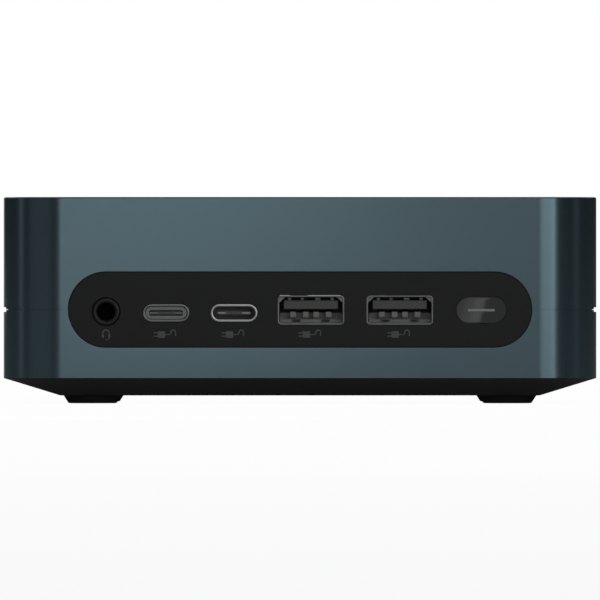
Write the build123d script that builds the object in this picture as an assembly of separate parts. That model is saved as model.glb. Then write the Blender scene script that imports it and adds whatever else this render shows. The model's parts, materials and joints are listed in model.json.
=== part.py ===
"""A small desktop computer: a two-piece aluminium shell on a tapered plastic base, with its ports and cooler.

Millimetres. The origin is on the desk, under the middle of the case. +Z is up and the front looks along -Y.
Each function below makes one separate piece, and the last section writes one file for each.
"""

import os
from math import cos, radians, sin

from build123d import *

# ---------------------------------------------------------------- driving dimensions

WIDTH = 117.0  # along X
DEPTH = 112.0  # along Y
CORNER_R = 11.5  # vertical corners of the shell
FOOT_H = 1.55
BASE_H = 3.45  # the tapered base, between the feet and the shell
SHELL_H = 35.7
SEAM_Z = 18.5  # where the two shells meet
WALL = 2.0
TOP_T = 2.0
TAPER_IN = 11.2  # how far the base draws in below the shell

BASE_Z = FOOT_H
SHELL_Z = BASE_Z + BASE_H
TOP_Z = SHELL_Z + SHELL_H
FRONT_Y = -DEPTH / 2
REAR_Y = DEPTH / 2
INNER_FRONT_Y = FRONT_Y + WALL
INNER_REAR_Y = REAR_Y - WALL
CEILING_Z = TOP_Z - TOP_T

# seam between the shells
SEAM_GAP = 0.14
TONGUE_INSET = 1.1
TONGUE_H = 1.4
FIT = 0.1  # clearance between fixed pieces that slide together
GROOVE_H = 0.9  # side grooves along the seam
GROOVE_D = 0.5
LOCK_Y, LOCK_Z, LOCK_W, LOCK_H = 30.0, 11.5, 7.0, 3.0  # slot for a cable lock, in the right side

# base
FLOOR_T = 1.5
FLOOR_Z = BASE_Z + FLOOR_T
LIP_T = 1.2
LIP_H = 1.3
FOOT_X, FOOT_Y = 41.0, 38.5
FOOT_TOP_R, FOOT_LOW_R = 5.75, 4.9
FOOT_BORE_R = 2.8
INSERT_X = 30.0  # threaded inserts for a wall bracket
INSERT_R, INSERT_BORE_R, INSERT_L = 2.1, 1.25, 4.0

# board
BOARD_TOP = 15.5
BOARD_T = 1.6
BOARD_LOW = BOARD_TOP - BOARD_T
BOARD_SIDE = 101.6
POST_XY = 46.5  # corner fixings, the same distance from the middle along X and Y
POST_R = 3.0
LUG_Z, LUG_T = 7.0, 2.0
LUG_X, LUG_Y = 37.2, 34.7  # inner corner of each lug plate

# front ports, as seen from the front: X of each centre
PANEL_W, PANEL_H = 91.4, 14.95
PANEL_RECESS = 0.1
PANEL_BACK_T = 1.0
PANEL_FLANGE = 1.2
JACK_X, JACK_Z = -38.2, 18.1
USB_C_X, USB_C_Z = (-26.4, -13.0), 17.85
USB_A_X, USB_A_Z = (2.15, 19.65), 18.4
BUTTON_X, BUTTON_Z = 35.7, 18.4
PORT_FACE_Y = FRONT_Y + PANEL_RECESS + 0.1  # front rim of the ports

# connector shells
USB_A_W, USB_A_H, USB_A_WALL, USB_A_DEPTH, USB_A_R = 13.15, 5.8, 0.32, 15.0, 0.75
USB_C_W, USB_C_H, USB_C_WALL, USB_C_DEPTH = 9.25, 3.5, 0.46, 7.4
HDMI_W, HDMI_H, HDMI_WALL, HDMI_DEPTH = 15.0, 5.55, 0.45, 11.5
JACK_BORE_R, JACK_BORE_L, JACK_COLLAR_R = 1.8, 12.0, 2.75

# power button
BUTTON_W, BUTTON_H, BUTTON_GAP = 10.1, 5.15, 0.12
LIGHT_W, LIGHT_H = 5.4, 0.55
STEM_GAP = 0.03  # between the button's stem and the plunger
SWITCH_Y = INNER_FRONT_Y + PANEL_BACK_T + 1.55  # front of the plunger
SWITCH_BODY_Y = SWITCH_Y + 0.8

# rear ports, left to right when looking along +Y
REAR_W, REAR_LOW_Z, REAR_TOP_Z, REAR_R = 91.4, 11.6, 36.4, 7.4
REAR_FACE_Y = REAR_Y - PANEL_RECESS - 0.1
HDMI_X = -35.4
REAR_USB_C_X = -21.2
REAR_USB_A_X = (-7.9, 7.5)
ETHERNET_X, ETHERNET_W, ETHERNET_H, ETHERNET_DEPTH = 24.4, 16.0, 13.4, 16.0
DC_X, DC_SIDE, DC_DEPTH, DC_BORE_R, DC_PIN_R, DC_PIN_L = 38.7, 8.6, 13.0, 3.1, 1.25, 8.0
VENT_X0, VENT_X1, VENT_Z0, VENT_Z1 = -42.0, 13.6, 24.4, 34.2
VENT_SLOT, VENT_PITCH = 1.5, 2.4

# cooler
FAN_X, FAN_Y = -18.0, 0.0
FAN_SIDE, FAN_LOW_Z, FAN_TOP_Z = 60.0, 25.2, 36.6
FAN_WALL = 1.0
FAN_LEGS = [(-46.0, 24.0), (10.0, 24.0), (-18.0, -27.6)]
ROTOR_R, HUB_R, BLADES, BLADE_T = 25.5, 11.0, 31, 0.6
SHAFT_R, SLEEVE_R = 1.2, 2.5
FINS_X0, FINS_X1, FINS_Y0, FINS_Y1 = -43.0, 8.6, 38.2, 52.0
FIN_T, FIN_PITCH = 0.4, 1.72
PIPE_W, PIPE_T = 8.0, 2.4
SPREADER_Z, SPREADER_T = BOARD_TOP + 1.5, 2.0

CORNERS = [(sx, sy) for sx in (-1, 1) for sy in (-1, 1)]


# ---------------------------------------------------------------- helpers


def prism_z(sketch, low, high):
    """A flat outline in XY, raised from one height to another."""
    return Pos(0, 0, low) * extrude(sketch, high - low)


def prism_y(sketch, front, back):
    """An outline drawn as seen from the front (X across, Z up), run from one Y to another."""
    return extrude(Plane(origin=(0, back, 0), x_dir=(1, 0, 0), z_dir=(0, -1, 0)) * sketch, back - front)


def block(x0, x1, y0, y1, z0, z1):
    return Pos((x0 + x1) / 2, (y0 + y1) / 2, (z0 + z1) / 2) * Box(x1 - x0, y1 - y0, z1 - z0)


def rod(x, y, radius, low, high):
    """An upright cylinder."""
    return Pos(x, y, (low + high) / 2) * Cylinder(radius, high - low)


def rod_y(x, z, radius, front, back):
    """A cylinder along Y."""
    return Pos(x, (front + back) / 2, z) * Rot(90, 0, 0) * Cylinder(radius, back - front)


def outline(inset):
    return RectangleRounded(WIDTH - 2 * inset, DEPTH - 2 * inset, CORNER_R - inset)


def ring_z(outer_inset, inner_inset, low, high):
    return prism_z(outline(outer_inset) - outline(inner_inset), low, high)


def slot(x, z, width, height):
    """A round-ended opening, as seen from the front."""
    return Pos(x, z) * SlotOverall(width, height)


def rounded(x, z, width, height, radius):
    return Pos(x, z) * RectangleRounded(width, height, radius)


def rear_outline(grow=0.0):
    height = REAR_TOP_Z - REAR_LOW_Z + 2 * grow
    return rounded(0, (REAR_TOP_Z + REAR_LOW_Z) / 2, REAR_W + 2 * grow, height, REAR_R + grow)


def screw(x, y, head_z, head_r, head_h, shank_r, shank_top):
    """An upright screw with its head at the bottom and a cross recess in it."""
    body = rod(x, y, head_r, head_z, head_z + head_h) + rod(x, y, shank_r, head_z + head_h, shank_top)
    cross = Box(head_r * 1.2, 0.5, 1.2) + Box(0.5, head_r * 1.2, 1.2)
    return body - Pos(x, y, head_z) * cross


def screw_down(x, y, seat_z, head_r, head_h, shank_r, shank_low):
    """An upright screw with its head on top."""
    body = rod(x, y, head_r, seat_z, seat_z + head_h) + rod(x, y, shank_r, shank_low, seat_z)
    cross = Box(head_r * 1.2, 0.4, 1.0) + Box(0.4, head_r * 1.2, 1.0)
    return body - Pos(x, y, seat_z + head_h) * cross


def several(pieces):
    """Separate solids kept in one node."""
    return Compound(children=[solid for piece in pieces for solid in piece.solids()])


# ---------------------------------------------------------------- shells and base


def wall_cutouts():
    """What the front and rear walls lose to the two port panels."""
    front = prism_y(slot(0, SEAM_Z, PANEL_W, PANEL_H), FRONT_Y - 1, INNER_FRONT_Y + 0.01)
    rear = prism_y(rear_outline(), INNER_REAR_Y - 0.01, REAR_Y + 1)
    return front + rear


def side_grooves():
    """A shallow groove along the seam on each side, running out at the rounded corners."""
    half = GROOVE_H / 2
    return [
        block(x, x + GROOVE_D + 1, FRONT_Y, REAR_Y, SEAM_Z - half, SEAM_Z + half)
        for x in (WIDTH / 2 - GROOVE_D, -WIDTH / 2 - 1)
    ]


def upper_shell():
    """The aluminium top cover, with four posts that carry the board."""
    body = prism_z(outline(0), SEAM_Z + SEAM_GAP / 2, TOP_Z)
    body = fillet(body.faces().sort_by(Axis.Z)[-1].edges(), 0.35)
    body -= prism_z(outline(WALL), SEAM_Z - 1, CEILING_Z)
    body -= prism_z(outline(TONGUE_INSET), SEAM_Z - 1, SEAM_Z + TONGUE_H + FIT)
    body -= wall_cutouts()
    for groove in side_grooves():
        body -= groove
    for sx, sy in CORNERS:
        body += rod(sx * POST_XY, sy * POST_XY, POST_R, BOARD_TOP, CEILING_Z)
        body -= rod(sx * POST_XY, sy * POST_XY, SHAFT_R + 0.05, BOARD_TOP - 1, BOARD_TOP + 7)
    return body


def lug(sx, sy):
    """A corner plate of the lower shell, with the tower that a base screw goes into."""
    plate = Rectangle(30, 30, align=(Align.MIN, Align.MIN))
    plate = Pos(LUG_X, LUG_Y) * plate & outline(WALL - 0.5)
    piece = prism_z(plate, LUG_Z, LUG_Z + LUG_T)
    piece += rod(FOOT_X, FOOT_Y, 3.2, FLOOR_Z, LUG_Z + LUG_T)
    piece -= rod(FOOT_X, FOOT_Y, 1.05, FLOOR_Z - 1, LUG_Z + LUG_T + 1)
    piece -= rod(POST_XY, POST_XY, 1.4, LUG_Z - 1, LUG_Z + LUG_T + 1)
    if sx < 0:
        piece = piece.mirror(Plane.YZ)
    if sy < 0:
        piece = piece.mirror(Plane.XZ)
    return piece


def lower_shell():
    """The aluminium ring under the seam, with a tongue that enters the upper shell."""
    body = ring_z(0, WALL, SHELL_Z, SEAM_Z - SEAM_GAP / 2)
    body += ring_z(TONGUE_INSET + FIT, WALL, SEAM_Z - 1, SEAM_Z + TONGUE_H)
    body -= wall_cutouts()
    for groove in side_grooves():
        body -= groove
    for sx, sy in CORNERS:
        body += lug(sx, sy)
    lock = extrude(SlotOverall(LOCK_W, LOCK_H), WALL, both=True)
    return body - Pos(WIDTH / 2, LOCK_Y, LOCK_Z) * Rot(0, 0, 90) * Rot(90, 0, 0) * lock


def base_cover():
    """The black plastic tray: it draws in below the shell and is slotted for the air intake."""
    low = Pos(0, 0, BASE_Z) * outline(TAPER_IN)
    body = loft([low, Pos(0, 0, SHELL_Z) * outline(0)], ruled=True)
    hollow_low = Pos(0, 0, FLOOR_Z) * outline(TAPER_IN)
    rim_inset = TAPER_IN * FLOOR_T / BASE_H
    body -= loft([hollow_low, Pos(0, 0, SHELL_Z) * outline(rim_inset)], ruled=True)
    body += ring_z(WALL + FIT, WALL + FIT + LIP_T, SHELL_Z - 0.2, SHELL_Z + LIP_H)
    slots = [Pos(x * 3.6, y) * Rot(0, 0, 90) * SlotOverall(20, 1.6) for x in range(-7, 8) for y in (-16, 16)]
    body -= prism_z(Sketch() + slots, BASE_Z - 1, FLOOR_Z + 1)
    for sx, sy in CORNERS:
        body -= rod(sx * FOOT_X, sy * FOOT_Y, 1.3, BASE_Z - 1, FLOOR_Z + 1)
    for sx in (-1, 1):
        body += rod(sx * INSERT_X, 0, INSERT_R + 1, FLOOR_Z - 0.2, BASE_Z + INSERT_L)
        body -= rod(sx * INSERT_X, 0, INSERT_R, BASE_Z - 1, BASE_Z + INSERT_L + 1)
    return body


def mount_inserts():
    pieces = []
    for sx in (-1, 1):
        sleeve = rod(sx * INSERT_X, 0, INSERT_R, BASE_Z, BASE_Z + INSERT_L)
        pieces.append(sleeve - rod(sx * INSERT_X, 0, INSERT_BORE_R, BASE_Z - 1, BASE_Z + INSERT_L + 1))
    return several(pieces)


def foot(sx, sy):
    """A rubber pad, wider at the top, with a recess for the screw head."""
    pad = Cone(FOOT_LOW_R, FOOT_TOP_R, FOOT_H, align=(Align.CENTER, Align.CENTER, Align.MIN))
    pad = fillet(pad.edges().sort_by(Axis.Z)[0], 0.5)
    pad -= rod(0, 0, FOOT_BORE_R, -1, FOOT_H + 1)
    return Pos(sx * FOOT_X, sy * FOOT_Y, 0) * pad


def base_screws():
    return several(screw(sx * FOOT_X, sy * FOOT_Y, 0.4, 2.4, BASE_Z - 0.4, 1.0, 8.0) for sx, sy in CORNERS)


def shell_screws():
    return several(screw(sx * POST_XY, sy * POST_XY, LUG_Z - 1.5, 2.2, 1.5, 1.0, 12.0) for sx, sy in CORNERS)


def board_standoffs():
    """Hexagonal spacers: a stud goes up through the board, and a shell screw enters from below."""
    pieces = []
    for sx, sy in CORNERS:
        hexagon = prism_z(RegularPolygon(2.9, 6), LUG_Z + LUG_T, BOARD_LOW)
        piece = hexagon + rod(0, 0, SHAFT_R, BOARD_LOW, BOARD_TOP + 6)
        piece -= rod(0, 0, 1.05, LUG_Z, 12.5)
        pieces.append(Pos(sx * POST_XY, sy * POST_XY, 0) * piece)
    return several(pieces)


# ---------------------------------------------------------------- front panel and its ports


def front_port_panel():
    """The round-ended black bezel, with a flange behind the wall and one opening for each port."""
    face_y = FRONT_Y + PANEL_RECESS
    body = prism_y(slot(0, SEAM_Z, PANEL_W - 2 * FIT, PANEL_H - 2 * FIT), face_y, INNER_FRONT_Y)
    flange = slot(0, SEAM_Z, PANEL_W + 2 * PANEL_FLANGE, PANEL_H + 2 * PANEL_FLANGE)
    body += prism_y(flange, INNER_FRONT_Y, INNER_FRONT_Y + PANEL_BACK_T)
    holes = slot(BUTTON_X, BUTTON_Z, BUTTON_W + 2 * BUTTON_GAP, BUTTON_H + 2 * BUTTON_GAP)
    holes += Pos(JACK_X, JACK_Z) * Circle(JACK_COLLAR_R + 0.15)
    for x in USB_C_X:
        holes += slot(x, USB_C_Z, USB_C_W + 0.1, USB_C_H + 0.1)
    for x in USB_A_X:
        holes += rounded(x, USB_A_Z, USB_A_W + 0.1, USB_A_H + 0.1, USB_A_R + 0.05)
    return body - prism_y(holes, FRONT_Y - 1, INNER_FRONT_Y + PANEL_BACK_T + 1)


def headset_jack():
    """The 3.5 mm socket: a round collar in the panel and a square body on the board."""
    front = PORT_FACE_Y
    body = rod_y(JACK_X, JACK_Z, JACK_COLLAR_R, front, FRONT_Y + 5.1)
    body = chamfer(body.edges().sort_by(Axis.Y)[0], 0.25)
    half = JACK_Z - BOARD_TOP
    body += block(JACK_X - 3.2, JACK_X + 3.2, FRONT_Y + 5.1, FRONT_Y + 18, JACK_Z - half, JACK_Z + half)
    return body - rod_y(JACK_X, JACK_Z, JACK_BORE_R, front - 1, front + JACK_BORE_L)


def usb_a_shell(x, z, front, back):
    """A folded steel tube, open at one end, with two sprung tabs cut in its top and bottom."""
    outer = rounded(x, z, USB_A_W, USB_A_H, USB_A_R)
    inner = rounded(x, z, USB_A_W - 2 * USB_A_WALL, USB_A_H - 2 * USB_A_WALL, USB_A_R - USB_A_WALL)
    tube = prism_y(outer - inner, front, back)
    middle = (front + back) / 2
    for side in (-1, 1):
        tube -= block(x + side * 3 - 1.1, x + side * 3 + 1.1, middle - 2, middle + 2, z - 4, z + 4)
    return tube


def usb_a_insulator(x, z, mouth, closed):
    """The plastic back and tongue of a USB-A port. mouth is the Y of its open end, closed of the other."""
    into = 1 if closed > mouth else -1
    wall = closed - into * 4
    low, high = sorted((wall, closed - into * 0.3))
    plug = rounded(x, z, USB_A_W - 2 * USB_A_WALL - 0.04, USB_A_H - 2 * USB_A_WALL - 0.04, 0.4)
    back = prism_y(plug, low, high)
    tip = mouth + into * 1.0
    low, high = sorted((tip, wall))
    tongue = block(x - 5.35, x + 5.35, low, high, z + 0.2, z + 1.95)
    return back + tongue


def usb_a_contacts(x, z, mouth, closed):
    """Four gold fingers under the tongue, each with a bent tip, with a small gap from the plastic."""
    into = 1 if closed > mouth else -1
    pieces = []
    for offset in (-3.5, -1.0, 1.0, 3.5):
        near, far = mouth + into * 2.2, closed - into * 4.1
        bend = mouth + into * 4.2
        profile = Polyline(
            (near, z - 0.5), (bend, z - 1.55), (bend + into * 1.4, z - 0.45), (far, z + 0.02),
            (far, z + 0.16), (bend + into * 1.4, z - 0.25), (bend, z - 1.3), (near, z - 0.3), close=True
        )
        strip = extrude(Plane.YZ.offset(x + offset - 0.5) * make_face(profile), 1.0)
        pieces.append(strip)
    return pieces


def usb_c_shell(x, z, front, back, legs_y):
    """A round-sided tube, held above the board by two short legs."""
    tube = slot(x, z, USB_C_W, USB_C_H)
    tube -= slot(x, z, USB_C_W - 2 * USB_C_WALL, USB_C_H - 2 * USB_C_WALL)
    shell = prism_y(tube, front, back)
    edge = USB_C_W / 2
    for side in (-1, 1):
        x0, x1 = sorted((x + side * edge, x + side * (edge - USB_C_WALL)))
        shell += block(x0, x1, legs_y, legs_y + 1.6, BOARD_TOP, z)
    return shell


def usb_c_insulator(x, z, mouth, closed, collar=False):
    """The plastic plug at the back of the port and its thin tongue, with a collar round the tongue's root."""
    into = 1 if closed > mouth else -1
    inner_w, inner_h = USB_C_W - 2 * USB_C_WALL - 0.04, USB_C_H - 2 * USB_C_WALL - 0.04
    low, high = sorted((mouth + into * 5.0, closed - into * 0.2))
    body = prism_y(slot(x, z, inner_w, inner_h), low, high)
    if collar:
        ring = slot(x, z, inner_w - 0.3, inner_h - 0.2) - slot(x, z, 6.9, 1.25)
        body += prism_y(ring, mouth + into * 4.3, mouth + into * 5.1)
    low, high = sorted((mouth + into * 1.0, mouth + into * 5.0))
    return body + block(x - 3.35, x + 3.35, low, high, z - 0.35, z + 0.35)


def usb_c_contacts(x, z, mouth, closed):
    """Twelve gold pads on each face of the tongue."""
    into = 1 if closed > mouth else -1
    low, high = sorted((mouth + into * 1.6, mouth + into * 4.6))
    pads = []
    for i in range(12):
        px = x + (i - 5.5) * 0.5
        for top in (z + 0.35, z - 0.41):
            pads.append(block(px - 0.13, px + 0.13, low, high, top, top + 0.06))
    return pads


def power_button():
    """A round-ended cap with a flange behind the panel, a slot for the light and a stem to the switch."""
    face_y = FRONT_Y + PANEL_RECESS
    back_y = INNER_FRONT_Y + PANEL_BACK_T + 0.05
    body = prism_y(slot(BUTTON_X, BUTTON_Z, BUTTON_W, BUTTON_H), face_y, back_y)
    body = fillet(body.faces().sort_by(Axis.Y)[0].edges(), 0.3)
    body += prism_y(slot(BUTTON_X, BUTTON_Z, BUTTON_W + 1.4, BUTTON_H + 1.4), back_y, back_y + 0.7)
    body += rod_y(BUTTON_X, BUTTON_Z, 1.2, back_y + 0.7, SWITCH_Y - STEM_GAP)
    light = rounded(BUTTON_X, BUTTON_Z, LIGHT_W, LIGHT_H, LIGHT_H / 2 - 0.01)
    return body - prism_y(light, face_y - 1, face_y + 1.4)


def button_light():
    """The clear bar that carries the light to the face of the button."""
    face_y = FRONT_Y + PANEL_RECESS
    bar = rounded(BUTTON_X, BUTTON_Z, LIGHT_W - 0.02, LIGHT_H - 0.02, LIGHT_H / 2 - 0.03)
    return prism_y(bar, face_y + 0.02, face_y + 1.38)


def power_switch():
    """A small push switch standing on the edge of the board, open at the front for its plunger."""
    half, back = 2.6, SWITCH_BODY_Y + 3.6
    body = block(BUTTON_X - half, BUTTON_X + half, SWITCH_BODY_Y, back, BOARD_TOP, BUTTON_Z + 2.4)
    return body - rod_y(BUTTON_X, BUTTON_Z, 1.25, SWITCH_BODY_Y - 1, SWITCH_BODY_Y + 2.2)


def switch_plunger():
    return rod_y(BUTTON_X, BUTTON_Z, 1.2, SWITCH_Y, SWITCH_BODY_Y + 1.7)


# ---------------------------------------------------------------- rear panel and its ports

BOARD_PORT_Z = BOARD_TOP + USB_A_H / 2
REAR_C_Z = BOARD_TOP + USB_C_H / 2 + 0.4
HDMI_Z = BOARD_TOP + HDMI_H / 2
ETHERNET_Z = BOARD_TOP + ETHERNET_H / 2
DC_Z = BOARD_TOP + DC_SIDE / 2
PORT_BACK_Y = REAR_FACE_Y - USB_A_DEPTH


def hdmi_outline(grow=0.0):
    """The wide D shape with two cut lower corners."""
    w, h = HDMI_W / 2 + grow, HDMI_H / 2 + grow
    points = [(-w, h), (w, h), (w, -h + 2.2), (w - 1.9, -h), (-w + 1.9, -h), (-w, -h + 2.2)]
    shape = make_face(Polyline(*points, close=True))
    return Pos(HDMI_X, HDMI_Z) * fillet(shape.vertices(), 0.5)


def rear_port_panel():
    """The rear bezel: one opening for each port, and upright louvres for the hot air."""
    face_y = REAR_Y - PANEL_RECESS
    body = prism_y(rear_outline(-FIT), INNER_REAR_Y, face_y)
    body += prism_y(rear_outline(PANEL_FLANGE), INNER_REAR_Y - PANEL_BACK_T, INNER_REAR_Y)
    holes = hdmi_outline(0.1)
    holes += slot(REAR_USB_C_X, REAR_C_Z, USB_C_W + 0.1, USB_C_H + 0.1)
    for x in REAR_USB_A_X:
        holes += rounded(x, BOARD_PORT_Z, USB_A_W + 0.1, USB_A_H + 0.1, USB_A_R + 0.05)
    holes += rounded(ETHERNET_X, ETHERNET_Z, ETHERNET_W + 0.1, ETHERNET_H + 0.1, 0.3)
    holes += Pos(DC_X, DC_Z) * Circle(DC_BORE_R + 0.7)
    count = int((VENT_X1 - VENT_X0) / VENT_PITCH)
    start = (VENT_X0 + VENT_X1 - (count - 1) * VENT_PITCH) / 2
    for i in range(count):
        centre = (start + i * VENT_PITCH, (VENT_Z0 + VENT_Z1) / 2)
        holes += Pos(*centre) * Rot(0, 0, 90) * SlotOverall(VENT_Z1 - VENT_Z0, VENT_SLOT)
    return body - prism_y(holes, INNER_REAR_Y - 3, REAR_Y + 1)


def hdmi_shell():
    tube = hdmi_outline() - hdmi_outline(-HDMI_WALL)
    return prism_y(tube, REAR_FACE_Y - HDMI_DEPTH, REAR_FACE_Y)


def hdmi_insulator():
    closed = REAR_FACE_Y - HDMI_DEPTH
    back = prism_y(hdmi_outline(-HDMI_WALL - 0.02), closed + 0.2, closed + 3)
    return back + block(HDMI_X - 5.8, HDMI_X + 5.8, closed + 3, REAR_FACE_Y - 1.2, HDMI_Z - 0.5, HDMI_Z + 0.6)


def ethernet_shield():
    """The folded steel can round the network socket, open at the rear."""
    outer = rounded(ETHERNET_X, ETHERNET_Z, ETHERNET_W, ETHERNET_H, 0.3)
    can = prism_y(outer, REAR_FACE_Y - ETHERNET_DEPTH, REAR_FACE_Y)
    inner = Pos(ETHERNET_X, ETHERNET_Z) * Rectangle(ETHERNET_W - 0.6, ETHERNET_H - 0.6)
    return can - prism_y(inner, REAR_FACE_Y - ETHERNET_DEPTH + 0.3, REAR_FACE_Y + 1)


def ethernet_insert():
    """The plastic block inside the can, with the plug's hole and the notch for its latch."""
    solid = Pos(ETHERNET_X, ETHERNET_Z) * Rectangle(ETHERNET_W - 0.64, ETHERNET_H - 0.64)
    body = prism_y(solid, REAR_FACE_Y - ETHERNET_DEPTH + 0.32, REAR_FACE_Y - 0.2)
    hole = Pos(ETHERNET_X, ETHERNET_Z - 1.6) * Rectangle(11.8, 7.4)
    hole += Pos(ETHERNET_X, ETHERNET_Z + 2.6) * Rectangle(6.2, 2.0)
    hole += Pos(ETHERNET_X, ETHERNET_Z + 4.2) * Rectangle(3.2, 1.6)
    body -= prism_y(hole, REAR_FACE_Y - 12, REAR_FACE_Y + 1)
    for side in (-1, 1):
        lamp = block(-1.6, 1.6, -20, 1, -0.9, 0.9)
        body -= Pos(ETHERNET_X + side * 5.4, REAR_FACE_Y, ETHERNET_Z + 4.9) * lamp
    return body


def ethernet_lamps():
    """Two clear light bars above the network socket."""
    bar = block(-1.55, 1.55, -14, -0.15, -0.85, 0.85)
    return several(Pos(ETHERNET_X + side * 5.4, REAR_FACE_Y, ETHERNET_Z + 4.9) * bar for side in (-1, 1))


def ethernet_contacts():
    """Eight sprung wires that slope across the lower corner of the plug's hole."""
    pieces = []
    low = ETHERNET_Z - 5.28
    deep = REAR_FACE_Y - 11.95
    for i in range(8):
        x = ETHERNET_X + (i - 3.5) * 1.02
        profile = Polyline(
            (deep, low), (deep + 9.5, low), (deep + 9.5, low + 0.3), (deep + 9.0, low + 0.3),
            (deep + 2.2, low + 1.9), (deep + 2.0, low + 1.6), (deep + 7.5, low + 0.3), (deep, low + 0.3),
            close=True,
        )
        pieces.append(extrude(Plane.YZ.offset(x - 0.2) * make_face(profile), 0.4))
    return several(pieces)


def dc_jack():
    """The power inlet: a plastic body with a deep round socket."""
    front = REAR_FACE_Y - 1.0
    half = DC_SIDE / 2
    rear = INNER_REAR_Y - PANEL_BACK_T - 0.05
    body = block(DC_X - half, DC_X + half, front - DC_DEPTH, rear, BOARD_TOP, DC_Z + half)
    body += rod_y(DC_X, DC_Z, DC_BORE_R + 0.6, front - 5, REAR_FACE_Y)
    return body - rod_y(DC_X, DC_Z, DC_BORE_R, REAR_FACE_Y - 9.5, REAR_FACE_Y + 1)


def dc_pin():
    tip = REAR_FACE_Y - 1.0
    pin = rod_y(DC_X, DC_Z, DC_PIN_R, tip - DC_PIN_L - 0.5, tip)
    return chamfer(pin.edges().sort_by(Axis.Y)[-1], 0.2)


# ---------------------------------------------------------------- board and what is on it


def motherboard():
    board = prism_z(RectangleRounded(BOARD_SIDE, BOARD_SIDE, 2.0), BOARD_LOW, BOARD_TOP)
    for sx, sy in CORNERS:
        board -= rod(sx * POST_XY, sy * POST_XY, 1.6, BOARD_LOW - 1, BOARD_TOP + 1)
    for x, y in cooler_points():
        board -= rod(x, y, 1.4, BOARD_LOW - 1, BOARD_TOP + 1)
    return board


def cooler_points():
    return [(FAN_X + sx * 22.5, FAN_Y + sy * 16.5) for sx, sy in CORNERS]


def processor():
    """The processor package, with its two bare chips on top."""
    package = block(FAN_X - 22, FAN_X + 22, FAN_Y - 12, FAN_Y + 12, BOARD_TOP, BOARD_TOP + 0.9)
    chips = block(FAN_X - 12, FAN_X + 4, FAN_Y - 5.5, FAN_Y + 5.5, BOARD_TOP + 0.9, SPREADER_Z - 0.05)
    chips += block(FAN_X + 6, FAN_X + 12, FAN_Y - 4, FAN_Y + 4, BOARD_TOP + 0.9, SPREADER_Z - 0.05)
    return package + chips


def power_chokes():
    choke = Pos(0, 0, BOARD_TOP) * Box(6.8, 6.8, 3.0, align=(Align.CENTER, Align.CENTER, Align.MIN))
    choke = fillet(choke.edges().filter_by(Axis.Z), 0.6)
    return several(Pos(19.0, y, 0) * choke for y in (-24, -15.5, -7, 1.5, 10))


def capacitors():
    """Round cans beside the chokes, each with a square foot."""
    pieces = []
    for x, y in [(27.5, y) for y in (-32, -25, 4, 11)] + [(19.0, 19.0), (26.0, 19.0)]:
        can = rod(x, y, 2.5, BOARD_TOP + 0.8, BOARD_TOP + 6)
        can = fillet(can.edges().sort_by(Axis.Z)[-1], 0.4)
        pieces.append(can + block(x - 2.7, x + 2.7, y - 2.7, y + 2.7, BOARD_TOP, BOARD_TOP + 0.8))
    return several(pieces)


def board_chips():
    """The network, sound and control chips."""
    spots = [(40, 22, 6), (-42, 38, 3.5), (38, -34, 3.5), (-26, -36, 3), (44, 34, 3), (-34, 32, 4)]
    return several(block(x - s, x + s, y - s, y + s, BOARD_TOP, BOARD_TOP + 1.1) for x, y, s in spots)


def coin_cell_holder():
    ring = rod(38.5, -12, 11.4, BOARD_TOP, BOARD_TOP + 4.2)
    return ring - rod(38.5, -12, 10.05, BOARD_TOP + 1, BOARD_TOP + 5)


def coin_cell():
    return fillet(rod(38.5, -12, 10.0, BOARD_TOP + 1, BOARD_TOP + 4.2).edges().sort_by(Axis.Z)[-1], 0.5)


RAM_Z = (BOARD_LOW - 2.6, BOARD_LOW - 6.6)  # middle of each module
RAM_SOCKET_Y, RAM_EDGE_Y, RAM_FAR_Y = -41.5, -35.6, -5.7


def ram_socket():
    """The double memory socket under the board: a slotted body and two arms on each side."""
    body = block(-35.5, 35.5, RAM_SOCKET_Y, RAM_SOCKET_Y + 7.4, BOARD_LOW - 9.2, BOARD_LOW)
    for z in RAM_Z:
        body -= block(-34.9, 34.9, RAM_EDGE_Y - 0.1, RAM_SOCKET_Y + 8, z - 0.55, z + 0.55)
    return body


def ram_latches():
    """The sprung metal arms that hold each module down."""
    pieces = []
    for z in RAM_Z:
        for side in (-1, 1):
            arm = block(34.95, 35.35, RAM_SOCKET_Y + 7.45, RAM_FAR_Y, z - 0.9, z + 0.9)
            arm += block(33.6, 35.35, RAM_FAR_Y - 4.2, RAM_FAR_Y - 2.2, z - 0.9, z - 0.6)
            pieces.append(arm if side > 0 else arm.mirror(Plane.YZ))
    return several(pieces)


def ram_module(z):
    """One memory card with four chips on each face."""
    card = block(-34.8, 34.8, RAM_EDGE_Y, RAM_FAR_Y, z - 0.5, z + 0.5)
    card -= Pos(8, RAM_EDGE_Y, z) * Box(1.5, 3, 3)
    for x in (-25.5, -11, 11, 25.5):
        card += block(x - 5, x + 5, -27, -14, z - 1.4, z + 1.4)
    return card


SSD_Y, SSD_Z = 15.0, BOARD_LOW - 3.0


def ssd_socket():
    body = block(-46.5, -38.5, SSD_Y - 11.4, SSD_Y + 11.4, BOARD_LOW - 4.2, BOARD_LOW)
    return body - block(-40.1, -38, SSD_Y - 11.05, SSD_Y + 11.05, SSD_Z - 0.45, SSD_Z + 0.45)


def ssd_card():
    """The drive card: a thin board with a controller and memory chips, notched at the screw end."""
    card = block(-40.0, 40.0, SSD_Y - 11, SSD_Y + 11, SSD_Z - 0.4, SSD_Z + 0.4)
    card -= rod(40.0, SSD_Y, 1.8, SSD_Z - 1, SSD_Z + 1)
    for x, half in ((-24, 5.5), (-8, 6), (8, 6), (24, 6)):
        card += block(x - half, x + half, SSD_Y - 6.5, SSD_Y + 6.5, SSD_Z - 1.6, SSD_Z - 0.4)
    return card


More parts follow.
